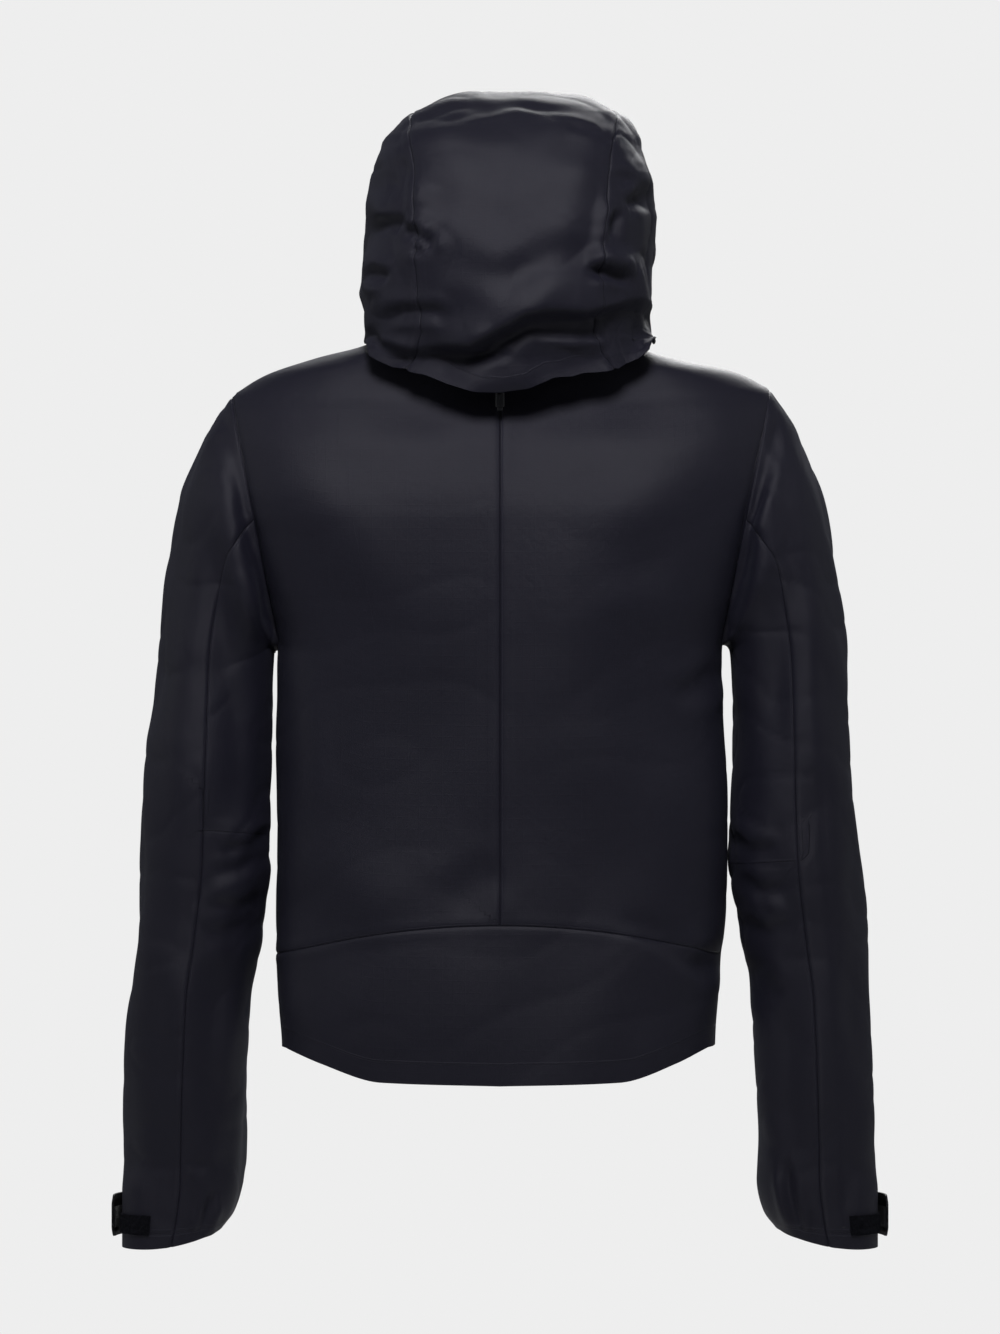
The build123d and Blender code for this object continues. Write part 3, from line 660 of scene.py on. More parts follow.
work = bmesh.new()
layers = {label: work.verts.layers.float.new(label) for label in ("across", "down", "seam", "run", "edge")}
panel = work.faces.layers.int.new("panel")
values = {"across": across, "down": down, "seam": seam_gap, "run": seam_run, "edge": hem_gap - .018}
values = {label: value.ravel() for label, value in values.items()}
for i, place in enumerate(body_grid.reshape(-1, 3)):
    vertex = work.verts.new(place)
    for label, layer in layers.items():
        vertex[layer] = values[label][i]
work.verts.ensure_lookup_table()
columns = len(shares)
for quad in grid_faces(body_grid, body_ways):
    face = work.faces.new([work.verts[i] for i in quad])
    share = shares[min(i % columns for i in quad)]
    face[panel] = 1 if share < SIDE_SEAM - 1e-6 else 2 if share >= 1 - SIDE_SEAM - 1e-6 else 0
for side in (1, -1):
    way = armhole_way * (side, 1, 1)
    top = ARMHOLE_TOP * (side, 1, 1)
    near = [f for f in work.faces if f.calc_center_median().z > ARMHOLE_BOTTOM[2] - .004]
    near += list({e for f in near for e in f.edges}) + list({v for f in near for v in f.verts})
    bmesh.ops.bisect_plane(work, geom=near, plane_co=top, plane_no=way, dist=1e-6)
    gone = [f for f in work.faces if (np.array(f.calc_center_median()) - top) @ way > 1e-5
            and f.calc_center_median().z > ARMHOLE_BOTTOM[2] - .002]
    bmesh.ops.delete(work, geom=gone, context="FACES")
work.normal_update()
work.verts.index_update()
all_points = np.array([v.co for v in work.verts])
all_ways = np.array([v.normal for v in work.verts])
all_values = {label: np.array([v[layer] for v in work.verts]) for label, layer in layers.items()}
cut_faces = [(f[panel], tuple(v.index for v in f.verts)) for f in work.faces]
armhole_rims = {}
for side in (1, -1):
    way, top = armhole_way * (side, 1, 1), ARMHOLE_TOP * (side, 1, 1)
    rim_points = [np.array(v.co) for e in work.edges if e.is_boundary for v in e.verts
                  if abs((np.array(v.co) - top) @ way) < .0015 and v.co.z < .0 and v.co.z > -.26]
    armhole_rims[side] = np.array(rim_points)
work.free()

PANELS = {0: ("back", ["back_panel_left", "back_panel_right", "back_hem_panel"]),
          1: ("front_left", ["front_panel_left"]),
          2: ("front_right", ["front_panel_right"])}
for number, (name, stands_for) in PANELS.items():
    mine = [face for which_panel, face in cut_faces if which_panel == number]
    used = sorted({i for face in mine for i in face})
    renumbered = {old: new for new, old in enumerate(used)}
    piece = sew(name, all_points[used] + DATUM, [tuple(renumbered[i] for i in face) for face in mine],
                all_ways[used], CLOTH, *(all_values[label][used] for label in ("across", "down")),
                seam=all_values["seam"][used], run=all_values["run"][used], edge=all_values["edge"][used])
    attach(piece, "jacket_body")
    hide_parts(*stands_for)

# ---- collar, its lining and the hang loop --------------------------------------------------------
# The stand collar is the same shell cloth, with a brushed knit lining sewn inside it. The hang loop is a
# narrow woven strap whose ends are caught in the neck seam.
COLLAR_SHAPE = np.array([
    (.028, .097, .062, 2.6, 1.4),
    (.050, .092, .060, 2.5, 1.0),
    (.072, .089, .059, 2.4, 1.0),
])


def collar_grid(low, high, distance, inward):
    """The collar between two heights, from one side of the zip round to the other."""
    z = spaced(low, high, .0035)[:, None]
    z_at, half, back, power, slant = np.moveaxis(eased(COLLAR_SHAPE[:, 0], COLLAR_SHAPE, z), -1, 0)
    clear = beside_centre(distance, half, power)
    turn = -90 + clear + spaced(0, .5, .0036)[None] / .5 * (360 - 2 * clear)
    u, v = outline(turn, half, .090 + .06 * (.060 - z_at), back, power, inward, slant)
    return np.stack([u, v, z_at * np.ones_like(u)], -1)


grid = collar_grid(.028, .072, ZIP_HALF, 0)
lean = .0011 * ripple(grid, (.07, .07, .05), 31) + .0007 * ripple(grid, (.03, .03, .04), 32)
calm = smooth(grid[..., 2], .028, .040) * smooth(np.abs(grid[..., 0]) + (grid[..., 1] > 0), .010, .030)
grid = grid + outward(grid) * (lean * calm)[..., None]
collar_run = np.cumsum(np.full(grid.shape[1], .0036)) * np.ones(grid.shape[:2])
collar = sew_grid("collar", grid + DATUM, CLOTH, centre=grid.shape[1] // 2, seam=grid[..., 2] - .028,
                  run=collar_run, edge=.072 - grid[..., 2] - .006)
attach(collar, "jacket_body")
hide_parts("collar_left", "collar_right")

brushed = cloth_material("brushed_lining", (.016, .016, .019), (.026, .026, .030), .95, .12, .35,
                         thread_size=.0014, depth=.00012, crackle_depth=.0002)
grid = collar_grid(.031, .069, .023, .0038)
swell = .0005 * ripple(grid, (.03, .03, .02), 33)
grid = grid + outward(grid) * (swell - .0002)[..., None]
collar_lining = sew_grid("collar_lining_piece", grid + DATUM, .0008, centre=grid.shape[1] // 2,
                         run=collar_run[:1].repeat(len(grid), 0)[:, :grid.shape[1]],
                         edge=np.minimum(grid[..., 2] - .031, .069 - grid[..., 2]) - .002,
                         materials=(brushed, brushed))
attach(collar_lining, "jacket_body")
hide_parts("collar_lining")

strap_cloth = cloth_material("woven_strap", (.010, .010, .012), (.020, .020, .023), .7, .3, .1,
                             thread_size=.0012, depth=.00016, crackle_depth=.0001)
STRAP_WIDTH, STRAP_THICK = .008, .0016
along_strap = np.linspace(-1, 1, 61)
strap_x = .030 * along_strap
strap_z = eased((0, .6, 1), [[0], [-.004], [-.020]], np.abs(along_strap))[..., 0] + STRAP_THICK
across_strap = np.linspace(-.5, .5, 9)
grid = np.stack(np.broadcast_arrays(strap_x[:, None], across_strap * STRAP_WIDTH,
                                    strap_z[:, None] - .0003 * (2 * np.abs(across_strap)) ** 4), -1)
grid = grid + np.array((0, .0028, 0)) * smooth(np.abs(along_strap), .5, 1)[:, None, None]
ways = outward(grid)
ways = ways * np.sign(ways[30, 4, 2])
across, down = laid_flat(grid, 4)
from_side = STRAP_WIDTH / 2 - np.abs(across)
faces = grid_faces(grid, ways)
hang_strap = sew("hang_strap", grid.reshape(-1, 3), faces, ways.reshape(-1, 3), STRAP_THICK, across.ravel(),
                 down.ravel(), run=down.ravel(), edge=from_side.ravel() - .0002,
                 materials=(strap_cloth, strap_cloth))
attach(hang_strap, "jacket_body")
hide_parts("hang_loop")

# ---- sleeves -------------------------------------------------------------------------------------
# Each sleeve is two shaped panels of shell cloth, set in at a straight armhole, bent a little at the elbow
# by a short cross seam, and hemmed at the cuff. It is cut above the elbow only so that it can bend.
SLEEVE_SHAPE = np.array([
    # inner edge x, height; outer edge x, height; half depth; middle y; roundness
    (.1935, -.243, .234, -.033, .076, .004, 2.4),
    (.1975, -.247, .262, -.066, .074, .004, 2.4),
    (.2005, -.250, .283, -.118, .070, .003, 2.4),
    (.2015, -.252, .296, -.190, .066, .002, 2.4),
    (.202, -.262, .304, -.254, .064, .002, 2.4),
    (.202, -.330, .309, -.330, .062, .001, 2.4),
    (.202, -.435, .316, -.435, .060, .000, 2.4),
    (.211, -.500, .321, -.500, .057, -.002, 2.4),
    (.222, -.560, .325, -.560, .054, -.004, 2.4),
    (.225, -.640, .330, -.640, .050, -.007, 2.4),
    (.226, -.717, .333, -.717, .046, -.010, 2.4),
    (.233, -.745, .333, -.747, .044, -.010, 2.5),
    (.243, -.759, .333, -.776, .041, -.010, 2.6),
])
OUTER_LINE = np.concatenate([[0], np.cumsum(np.hypot(*np.diff(SLEEVE_SHAPE[:, 2:4], axis=0).T))])
SLEEVE_LENGTH = OUTER_LINE[-1]
SLEEVE_ROUND = .40
BACK_SEAM = 200 / 360        # share of the way round, from the front seam, at which the back seam runs
SPLIT_Z = -.365              # where the sleeve is cut above the elbow
SLEEVE_FOLDS = {
    1: [("crease", .006, .0024, [(.246, -.048), (.230, -.056)]),
        ("ridge", .045, -.0085, [(.300, -.110), (.312, -.330)]),
        ("crease", .009, .0040, [(.226, -.075), (.219, -.140), (.207, -.205), (.199, -.256)]),
        ("ridge", .013, .0045, [(.238, -.070), (.234, -.130), (.224, -.190), (.214, -.260)]),
        ("crease", .012, .0030, [(.252, -.150), (.240, -.220), (.228, -.290)]),
        ("ridge", .022, .0040, [(.268, -.200), (.262, -.320), (.262, -.405)]),
        ("crease", .014, .0035, [(.230, -.270), (.224, -.345), (.222, -.400)]),
        ("lap", .007, .0032, [(.203, -.398), (.222, -.414), (.247, -.418)]),
        ("crease", .006, .0030, [(.204, -.428), (.226, -.442), (.252, -.446)]),
        ("lap", .008, .0030, [(.206, -.456), (.230, -.466), (.256, -.461)]),
        ("crease", .009, .0025, [(.212, -.486), (.236, -.500), (.262, -.498)]),
        ("ridge", .018, .0030, [(.287, -.480), (.277, -.590), (.270, -.690)]),
        ("crease", .015, .0035, [(.246, -.500), (.252, -.590), (.248, -.680)]),
        ("ridge", .012, .0025, [(.232, -.545), (.238, -.620), (.236, -.700)]),
        ("crease", .005, .0020, [(.266, -.696), (.258, -.708)]),
        ("crease", .0036, .0042, [(.2530, -.722), (.2545, -.736), (.2582, -.752), (.2650, -.768)]),
        ("ridge", .0045, .0032, [(.2440, -.735), (.2500, -.750), (.2575, -.766)]),
        ("crease", .0026, .0022, [(.2730, -.750), (.2700, -.768)]),
        ("ridge", .0030, .0018, [(.2690, -.744), (.2672, -.762)]),
        ("crease", .0030, .0020, [(.2790, -.752), (.2768, -.766)])],
    -1: [("lap", .007, .0050, [(-.219, -.153), (-.227, -.134), (-.235, -.112)]),
         ("crease", .008, .0040, [(-.224, -.052), (-.226, -.096), (-.214, -.150), (-.202, -.225)]),
         ("ridge", .011, .0040, [(-.236, -.060), (-.239, -.090), (-.232, -.150), (-.220, -.220)]),
         ("crease", .006, .0028, [(-.246, -.046), (-.236, -.066), (-.241, -.088)]),
         ("crease", .013, .0032, [(-.256, -.160), (-.246, -.250), (-.234, -.330)]),
         ("ridge", .022, .0040, [(-.272, -.190), (-.268, -.320), (-.262, -.400)]),
         ("lap", .008, .0034, [(-.204, -.402), (-.222, -.416), (-.244, -.414)][::-1]),
         ("crease", .006, .0030, [(-.208, -.450), (-.228, -.462), (-.250, -.460)]),
         ("lap", .008, .0030, [(-.210, -.478), (-.232, -.486), (-.254, -.478)][::-1]),
         ("crease", .010, .0032, [(-.214, -.522), (-.230, -.544), (-.246, -.560)]),
         ("ridge", .018, .0030, [(-.285, -.490), (-.279, -.600), (-.272, -.700)]),
         ("crease", .015, .0034, [(-.250, -.560), (-.252, -.640), (-.248, -.690)]),
         ("ridge", .012, .0026, [(-.236, -.560), (-.238, -.630), (-.238, -.690)]),
         ("crease", .0040, .0046, [(-.2500, -.690), (-.2540, -.725), (-.2590, -.748), (-.2655, -.769)]),
         ("ridge", .0046, .0034, [(-.2430, -.705), (-.2470, -.735), (-.2560, -.762)]),
         ("crease", .0028, .0024, [(-.2720, -.742), (-.2730, -.768)]),
         ("ridge", .0030, .0020, [(-.2672, -.735), (-.2690, -.764)]),
         ("crease", .0030, .0020, [(-.2800, -.752), (-.2785, -.767)])],
}
ELBOW_SEAM = {1: [(.258, -.372), (.258, -.4074), (.206, -.412)],
              -1: [(-.269, -.404), (-.268, -.428), (-.262, -.434), (-.206, -.438)]}


def sleeve_point(turn, along, inward=0.0, swell=1.0):
    """A point of the left sleeve, by its turn and its distance down the outer edge."""
    columns = np.moveaxis(eased(OUTER_LINE, SLEEVE_SHAPE, along), -1, 0)
    inner_x, inner_z, outer_x, outer_z, depth, y, power = columns
    dx, dz = outer_x - inner_x, outer_z - inner_z
    width = np.hypot(dx, dz)
    u, v = outline(turn, width / 2, depth, depth, power, inward)
    u, v = u * swell, v * swell
    place = np.stack([(inner_x + outer_x) / 2 + u * dx / width, y + v,
                      (inner_z + outer_z) / 2 + u * dz / width], -1)
    rounding = np.sin(math.pi * np.clip((place[..., 0] - .243) / .09, 0, 1))
    place[..., 2] -= .006 * rounding * smooth(along, SLEEVE_LENGTH - .05, SLEEVE_LENGTH)
    return place


sleeve_shares = spaced(0, SLEEVE_ROUND, .0036, [BACK_SEAM * SLEEVE_ROUND])[:-1] / SLEEVE_ROUND
sleeve_turns = -110 + 360 * sleeve_shares
sleeve_rows = np.concatenate([[0, .0008, .002], spaced(.004, SLEEVE_LENGTH, .0042)])
armhole_middle = (ARMHOLE_TOP + ARMHOLE_BOTTOM) / 2 + (0, .004, 0)
armhole_half = np.linalg.norm(ARMHOLE_TOP - ARMHOLE_BOTTOM) / 2
armhole_up = (ARMHOLE_TOP - ARMHOLE_BOTTOM) / (2 * armhole_half)
back_column = int(np.abs(sleeve_shares - BACK_SEAM).argmin())
for side, label in ((1, "left"), (-1, "right")):
    flip = np.array((side, 1, 1))
    rim_points = armhole_rims[side] * flip - armhole_middle
    u, v = rim_points @ armhole_up / armhole_half, rim_points[:, 1] / .076
    rim_turn = np.degrees(np.arctan2(v, u))
    across_share, back_share = (np.abs(way(np.radians(rim_turn))) ** 2.4 for way in (np.cos, np.sin))
    reach = (across_share + back_share) ** (1 / 2.4)
    order = rim_turn.argsort()
    fit = np.interp(sleeve_turns, rim_turn[order], (np.hypot(u, v) * reach)[order], period=360)
    blend_in = 1 - smooth(sleeve_rows, 0, .075)
    swell = 1 + (fit[None] - 1) * blend_in[:, None]
    swell[0] -= .012
    along = sleeve_rows[:, None] * np.ones_like(sleeve_turns)
    turn = sleeve_turns[None] * np.ones_like(along)
    smooth_sleeve = sleeve_point(turn, along, 0, swell)
    smooth_sleeve[0] -= armhole_way * .003
    smooth_sleeve = smooth_sleeve * flip
    ways = outward(smooth_sleeve, closed=True)
    x, y, z = np.moveaxis(smooth_sleeve, -1, 0)
    behind = smooth(y, -.02, .02)
    relief = np.zeros(along.shape)
    for kind, width, depth, line in SLEEVE_FOLDS[side]:
        relief += (behind + (1 - behind) * .45) * fold(x, z, kind, width, depth, line)
    relief += .0017 * ripple(smooth_sleeve, (.10, .09, .24), 41 + side) \
        + .0009 * ripple(smooth_sleeve, (.05, .05, .11), 44 + side)
    at_elbow = np.exp(-((z + .430) / .075) ** 2) * smooth(-x * side, -.262, -.205)
    relief += (.0010 + .0013 * at_elbow) * crumple(smooth_sleeve, (.13, .10, .055), 47 + side)
    calm = smooth(along, .002, .020) * (1 - .55 * smooth(along, SLEEVE_LENGTH - .05, SLEEVE_LENGTH - .01))
    under_tab = np.maximum(smooth(np.abs(x), .298, .316), smooth(-y, .005, .030))
    under_tab = under_tab * smooth(along, SLEEVE_LENGTH - .075, SLEEVE_LENGTH - .05)
    calm = calm * (1 - under_tab)
    relief *= calm
    elbow_gap, elbow_run, _ = follow(x, z, ELBOW_SEAM[side])
    elbow_gap = np.where(y > 0, elbow_gap, 1)
    front_gap = np.where(sleeve_shares < .5, sleeve_shares, sleeve_shares - 1)
    front_gap = front_gap * SLEEVE_ROUND * np.ones_like(along)
    back_gap = (sleeve_shares - BACK_SEAM) * SLEEVE_ROUND * np.ones_like(along)
    round_run = sleeve_shares * SLEEVE_ROUND * np.ones_like(along)
    gaps = np.stack([front_gap, back_gap, elbow_gap, along])
    seam_gap, seam_run = nearest_seam(gaps, np.stack([along, along, elbow_run, round_run]))
    relief += pressed(seam_gap, .0013)
    grid = smooth_sleeve + ways * relief[..., None]
    ways = outward(grid, closed=True)
    across, down = laid_flat(grid, back_column)
    girth = across[:, -1] - across[:, 0] + np.linalg.norm(grid[:, 0] - grid[:, -1], axis=-1)
    girth = np.repeat(girth, grid.shape[1]).reshape(across.shape)
    cuff_gap = SLEEVE_LENGTH - along
    split = int(np.abs(smooth_sleeve[:, back_column, 2] - SPLIT_Z).argmin())
    bodies = f"jacket_body upper_sleeve_{label} forearm_{label}".split()
    for part, rows, two, stands_for in (
            ("upper", slice(0, split + 1), bodies[:2], ("upper_sleeve_outer", "upper_sleeve_under")),
            ("lower", slice(split, None), bodies[1:], ("forearm_outer", "forearm_under"))):
        piece_grid, piece_ways = grid[rows], ways[rows]
        piece = sew(f"sleeve_{part}_{label}", piece_grid.reshape(-1, 3) + DATUM,
                    grid_faces(piece_grid, piece_ways, closed=True), piece_ways.reshape(-1, 3), CLOTH,
                    across[rows].ravel(), down[rows].ravel(), seam=seam_gap[rows].ravel(),
                    run=seam_run[rows].ravel(), edge=np.abs(cuff_gap[rows] - .016).ravel() - .0015,
                    girth=girth[rows].ravel())
        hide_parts(*(f"{node}_{label}" for node in stands_for))
        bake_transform(piece)

# ---- cuffs ---------------------------------------------------------------------------------------
# A bound edge inside the hem, a strip of soft loop pile sewn on the back, and a moulded tab that is sewn
# down in front and wraps round the outer edge, with a patch of hooks under its free end.
taped = cloth_material("binding_tape", (.009, .009, .011), (.016, .016, .019), .6, .35, .05,
                       thread_size=.0008, depth=.00008, crackle_depth=.0001)
pile = cloth_material("loop_pile", (.0025, .0025, .003), (.005, .005, .006), 1.0, .04, .04,
                      thread_size=.0009, depth=.0003, crackle_depth=.0009)
hooks = cloth_material("hook_field", (.006, .006, .007), (.014, .014, .016), .5, .4, 0,
                       thread_size=.0012, depth=.0004, crackle_depth=.0002)
tab_rubber = cloth_material("moulded_tab", (.0030, .0030, .0036), (.0050, .0050, .0060), .50, .22, 0,
                            thread_size=.0016, depth=.00006, crackle_depth=.0003)
TAB_SHAPE = np.array([
    # inner edge x, height; outer edge x, height; half depth; middle y; roundness
    (.231, -.731, .333, -.731, .045, -.010, 2.45),
    (.237, -.750, .333, -.750, .0435, -.010, 2.5),
    (.242, -.768, .333, -.768, .042, -.010, 2.6),
])
TAB_TOP, TAB_BOTTOM, TAB_LIFT, TAB_FLARE = -.731, -.768, .0048, .0041


def cuff_point(turn, z, lift):
    """A point round the left cuff at a height, some distance off its cloth."""
    inner_x, _, outer_x, _, depth, y, power = np.moveaxis(eased(-TAB_SHAPE[:, 1], TAB_SHAPE, -z), -1, 0)
    u, v = outline(turn, (outer_x - inner_x) / 2, depth, depth, power, -lift)
    return np.stack([(inner_x + outer_x) / 2 + u, y + v, z * np.ones_like(u)], -1)


def cuff_piece(name, turns, heights, lift, thickness, materials, edge, side):
    """A piece that lies round one cuff, between two turns and two heights."""
    grid = cuff_point(turns, heights, lift) * (side, 1, 1)
    ways = outward(grid)
    away = grid - np.array((.285 * side, -.010, -.75))
    if (ways * away * (1, 1, 0)).sum() < 0:
        ways = -ways
    across, down = laid_flat(grid, 0)
    return sew(name, grid.reshape(-1, 3) + DATUM, grid_faces(grid, ways), ways.reshape(-1, 3), thickness,
               across.ravel(), down.ravel(), run=(across + down).ravel(), edge=edge.ravel(),
               materials=materials)


for side, label in ((1, "left"), (-1, "right")):
    along = spaced(SLEEVE_LENGTH - .022, SLEEVE_LENGTH - .0006, .0036)[:, None] * np.ones(96)
    turn = np.linspace(-110, 246.25, 96)[None] * np.ones_like(along)
    grid = sleeve_point(turn, along, .0019) * (side, 1, 1)
    binding = sew_grid(f"cuff_binding_tape_{label}", grid + DATUM, .0008, closed=True,
                       run=(turn + 110) / 360 * .36, edge=np.abs(along - SLEEVE_LENGTH + .011) - .009,
                       materials=(taped, taped))
    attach(binding, f"forearm_{label}")
    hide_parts(f"cuff_binding_{label}")

    turns = np.linspace(8, 66, 44)[None]
    heights = np.linspace(-.746, -.763, 15)[:, None]
    strip_edge = np.minimum(np.minimum(-.746 - heights, heights + .763),
                            np.minimum(turns - 8, 66 - turns) * .00075) - .0022
    fuzz = .0004 * ripple(np.stack(np.broadcast_arrays(turns * .0009, heights, 0), -1), (.004, .004, 1), 51)
    strip = cuff_piece(f"cuff_loop_pile_{label}", turns, heights, .0017 + fuzz, .0010, (pile, taped),
                       strip_edge * np.ones((15, 44)), side)
    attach(strip, f"forearm_{label}")
    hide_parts(f"cuff_loop_strip_{label}")

    share = np.linspace(0, 1, 60)[None]
    from_end = np.clip((share - .86) / .14, 0, 1)
    half_height = (TAB_TOP - TAB_BOTTOM) / 2 * (1 - from_end ** 2.6 * .55)
    up = np.linspace(1, -1, 20)[:, None]
    heights = (TAB_TOP + TAB_BOTTOM) / 2 + half_height * up
    border = np.minimum(half_height * (1 - np.abs(up)), (1 - share) * .078)
    bead, groove = np.exp(-((border - .0012) / .0011) ** 2), np.exp(-((border - .0035) / .0008) ** 2)
    ribbed = .0005 * bead - .0004 * groove
    grips = np.clip((share - .72) / .04, 0, 1) * (share < .96)
    ribbed = ribbed + .0005 * grips * np.sin(share * 190) * smooth(border, .004, .0055)
    tab_lift = TAB_LIFT + TAB_FLARE * share ** 2 + ribbed
    tab = cuff_piece(f"cuff_strap_{label}", -78 + 86 * share, heights, tab_lift, .0016,
                     (tab_rubber, tab_rubber), border - .0030, side)
    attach(tab, f"cuff_tab_{label}")
    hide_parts(f"cuff_tab_{label}")

    heights = np.linspace(-.742, -.760, 16)[:, None]
    share = np.linspace(0, 1, 30)[None]
    lift = TAB_LIFT - .0016 - .0003 + TAB_FLARE * (.51 + .443 * share) ** 2
    patch_edge = np.minimum(np.minimum(-.742 - heights, heights + .760), np.minimum(share, 1 - share) * .036)
    patch = cuff_piece(f"cuff_hooks_{label}", -34 + 38 * share, heights, lift, .0007, (hooks, hooks),
                       (patch_edge - .0016) * np.ones((16, 30)), side)
    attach(patch, f"cuff_tab_{label}")
    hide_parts(f"cuff_hook_patch_{label}")

# ---- hood ----------------------------------------------------------------------------------------
# Three panels of shell cloth, a wide one over the crown between two sides, joined by taped seams. It is not
# sewn to the collar at the back, where a cord lock pulls it in. The loose cloth lies in creases and laps.
HOOD_SHAPE = np.array([
    # lean back from upright, half width, rise, roundness, height of the foot
    (-38, .112, .236, 2.8, .084),
    (-15, .124, .244, 3.2, .042),
    (5, .127, .239, 3.4, .022),
    (28, .128, .228, 3.4, .022),
    (52, .129, .188, 3.0, .028),
    (75, .131, .152, 2.7, .056),
    (90, .131, .139, 2.6, .068),
    (102, .130, .130, 2.6, .092),
])
HOOD_OUTLINE = np.array([
    # height, reach to the left, reach to the right
    (-.020, .119, .1350), (.022, .119, .1365), (.040, .120, .1365), (.084, .1206, .1340), (.128, .117, .1360),
    (.163, .1126, .1340), (.198, .1060, .1265), (.2156, .094, .1170), (.2332, .066, .0880), (.2385, .06, .08),
])
NAPE_EDGE = [(-.1435, .024), (-.121, .001), (-.105, -.009), (-.073, -.014), (-.0615, -.018), (-.046, -.019),
             (-.025, -.028), (0, -.0316), (.0225, -.030), (.047, -.023), (.068, -.014), (.097, -.007),
             (.116, .005)]
TUCK_LINE = [(-.118, .055), (-.071, .041), (-.021, .038), (.003, .024), (.026, .012), (.068, .012)]
HOOD_FOLDS = [
    ("lap", .006, .0062, [(.059, .101), (.070, .114), (.0855, .116)]),
    ("crease", .005, .0040, [(.059, .103), (.0626, .090)]),
    ("crease", .0035, .0030, [(.077, .0935), (.066, .087)]),
    ("lap", .0065, .0050, [(.078, .117), (.084, .124), (.116, .125)]),
    ("crease", .006, .0042, [(.040, .0290), (.057, .037), (.0855, .038), (.104, .032)]),
    ("lap", .010, .0090, [(-.118, .055), (-.094, .045), (-.071, .041), (-.037, .042), (-.021, .038),
                          (.003, .024), (.026, .012), (.068, .012)]),
    ("crease", .0045, .0045, [(-.105, .013), (-.096, .019), (-.0615, .017), (-.022, .019)]),
    ("crease", .0040, .0026, [(-.014, .001), (.015, -.003), (.036, -.001)]),
    ("lap", .0060, .0085, [(-.116, .072), (-.092, .079), (-.072, .080)]),
    ("crease", .0060, .0050, [(-.114, .071), (-.092, .076), (-.074, .077)]),
    ("ridge", .0055, .0045, [(-.086, .090), (-.088, .117), (-.094, .138)]),
    ("crease", .0045, .0042, [(-.1035, .129), (-.097, .098)]),
    ("ridge", .0080, .0045, [(-.105, .136), (-.124, .155), (-.1010, .173)]),
    ("crease", .0060, .0040, [(-.112, .130), (-.127, .142)]),
    ("crease", .0060, .0055, [(.095, .067), (.118, .076)]),
    ("crease", .0050, .0044, [(.076, -.004), (.105, .010), (.114, .030)]),
    ("crease", .0035, .0018, [(.087, .204), (.042, .218), (-.018, .221), (-.086, .211)]),
    ("crease", .0032, .0015, [(.049, .207), (.0225, .2136), (-.012, .2165)]),
    ("crease", .0035, .0016, [(-.056, .201), (-.086, .195)]),
    ("crease", .0085, .0030, [(.080, .166), (.088, .164)]),
    ("crease", .0090, .0030, [(.090, .153), (.100, .151)]),
    ("ridge", .0120, .0030, [(.066, .150), (.072, .128)]),
    ("crease", .0120, .0022, [(-.060, .095), (-.020, .070), (.030, .062)]),
]
CROWN_SHARE, CROWN_HALF = .36, 34        # where the crown seams run: as a share of a side, and in degrees


def arch_point(turn, lean, half, rise, power, inward=0.0):
    """A point of an arch over the head, by its turn round the arch and how far the arch leans back."""
    u, v = outline(turn, half, rise, rise, power, inward)
    lean = np.radians(lean)
    return np.stack(np.broadcast_arrays(u, v * np.sin(lean), v * np.cos(lean)), -1)


def hood_rise(turn, lean):
    """A point of the hood before it is worn."""
    _, half, rise, power, _ = np.moveaxis(eased(HOOD_SHAPE[:, 0], HOOD_SHAPE, lean), -1, 0)
    return arch_point(turn, lean, half, rise, power)


FACE_LEAN, NAPE_LEAN = HOOD_SHAPE[0, 0], HOOD_SHAPE[-1, 0]
crown_leans = np.linspace(FACE_LEAN, NAPE_LEAN, 200)
crown_line = hood_rise(90 * np.ones(200), crown_leans)
crown_run = np.concatenate([[0], np.cumsum(np.linalg.norm(np.diff(crown_line, axis=0), axis=1))])
leans = np.interp(spaced(0, crown_run[-1], .0036), crown_run, crown_leans)
shares = spaced(-1, 1, .0125, [-CROWN_SHARE, CROWN_SHARE], (.0024, .0062, .011))
_, _, rise, power, foot = np.moveaxis(eased(HOOD_SHAPE[:, 0], HOOD_SHAPE, leans), -1, 0)
foot_turn = np.degrees(np.arctan2(foot / rise, (1 - (foot / rise) ** power) ** (1 / power)))[:, None]
past_seam = np.clip((np.abs(shares) - CROWN_SHARE) / (1 - CROWN_SHARE), 0, 1)[None]
seam_turn = 90 - CROWN_HALF
side_turn = seam_turn - (seam_turn - foot_turn) * past_seam
crown_turn = (90 - CROWN_HALF * np.abs(shares) / CROWN_SHARE)[None] * np.ones_like(side_turn)
turn = np.where(past_seam > 0, side_turn, crown_turn)
turn = np.where(shares[None] > 0, turn, 180 - turn)
lean = leans[:, None] * np.ones_like(turn)
raw = hood_rise(turn, lean)
hood_heights = np.linspace(-.03, .237, 90)
hood_reach = np.array([np.abs(raw[..., 0][np.abs(raw[..., 2] - z) < .005]).max() for z in hood_heights])


def worn(places):
    """The hood's points once it is worn: fuller at the crown, and pulled over to the right."""
    x, y, z = np.moveaxis(places, -1, 0)
    left, right = (np.interp(z, HOOD_OUTLINE[:, 0], HOOD_OUTLINE[:, side]) for side in (1, 2))
    fuller = np.clip((left + right) / 2 / np.interp(z, hood_heights, hood_reach), .9, 1.4)
    share = smooth(y, -.12, .0)
    return np.stack([x * (1 + (fuller - 1) * share) + (left - right) / 2 * share, y, z], -1)


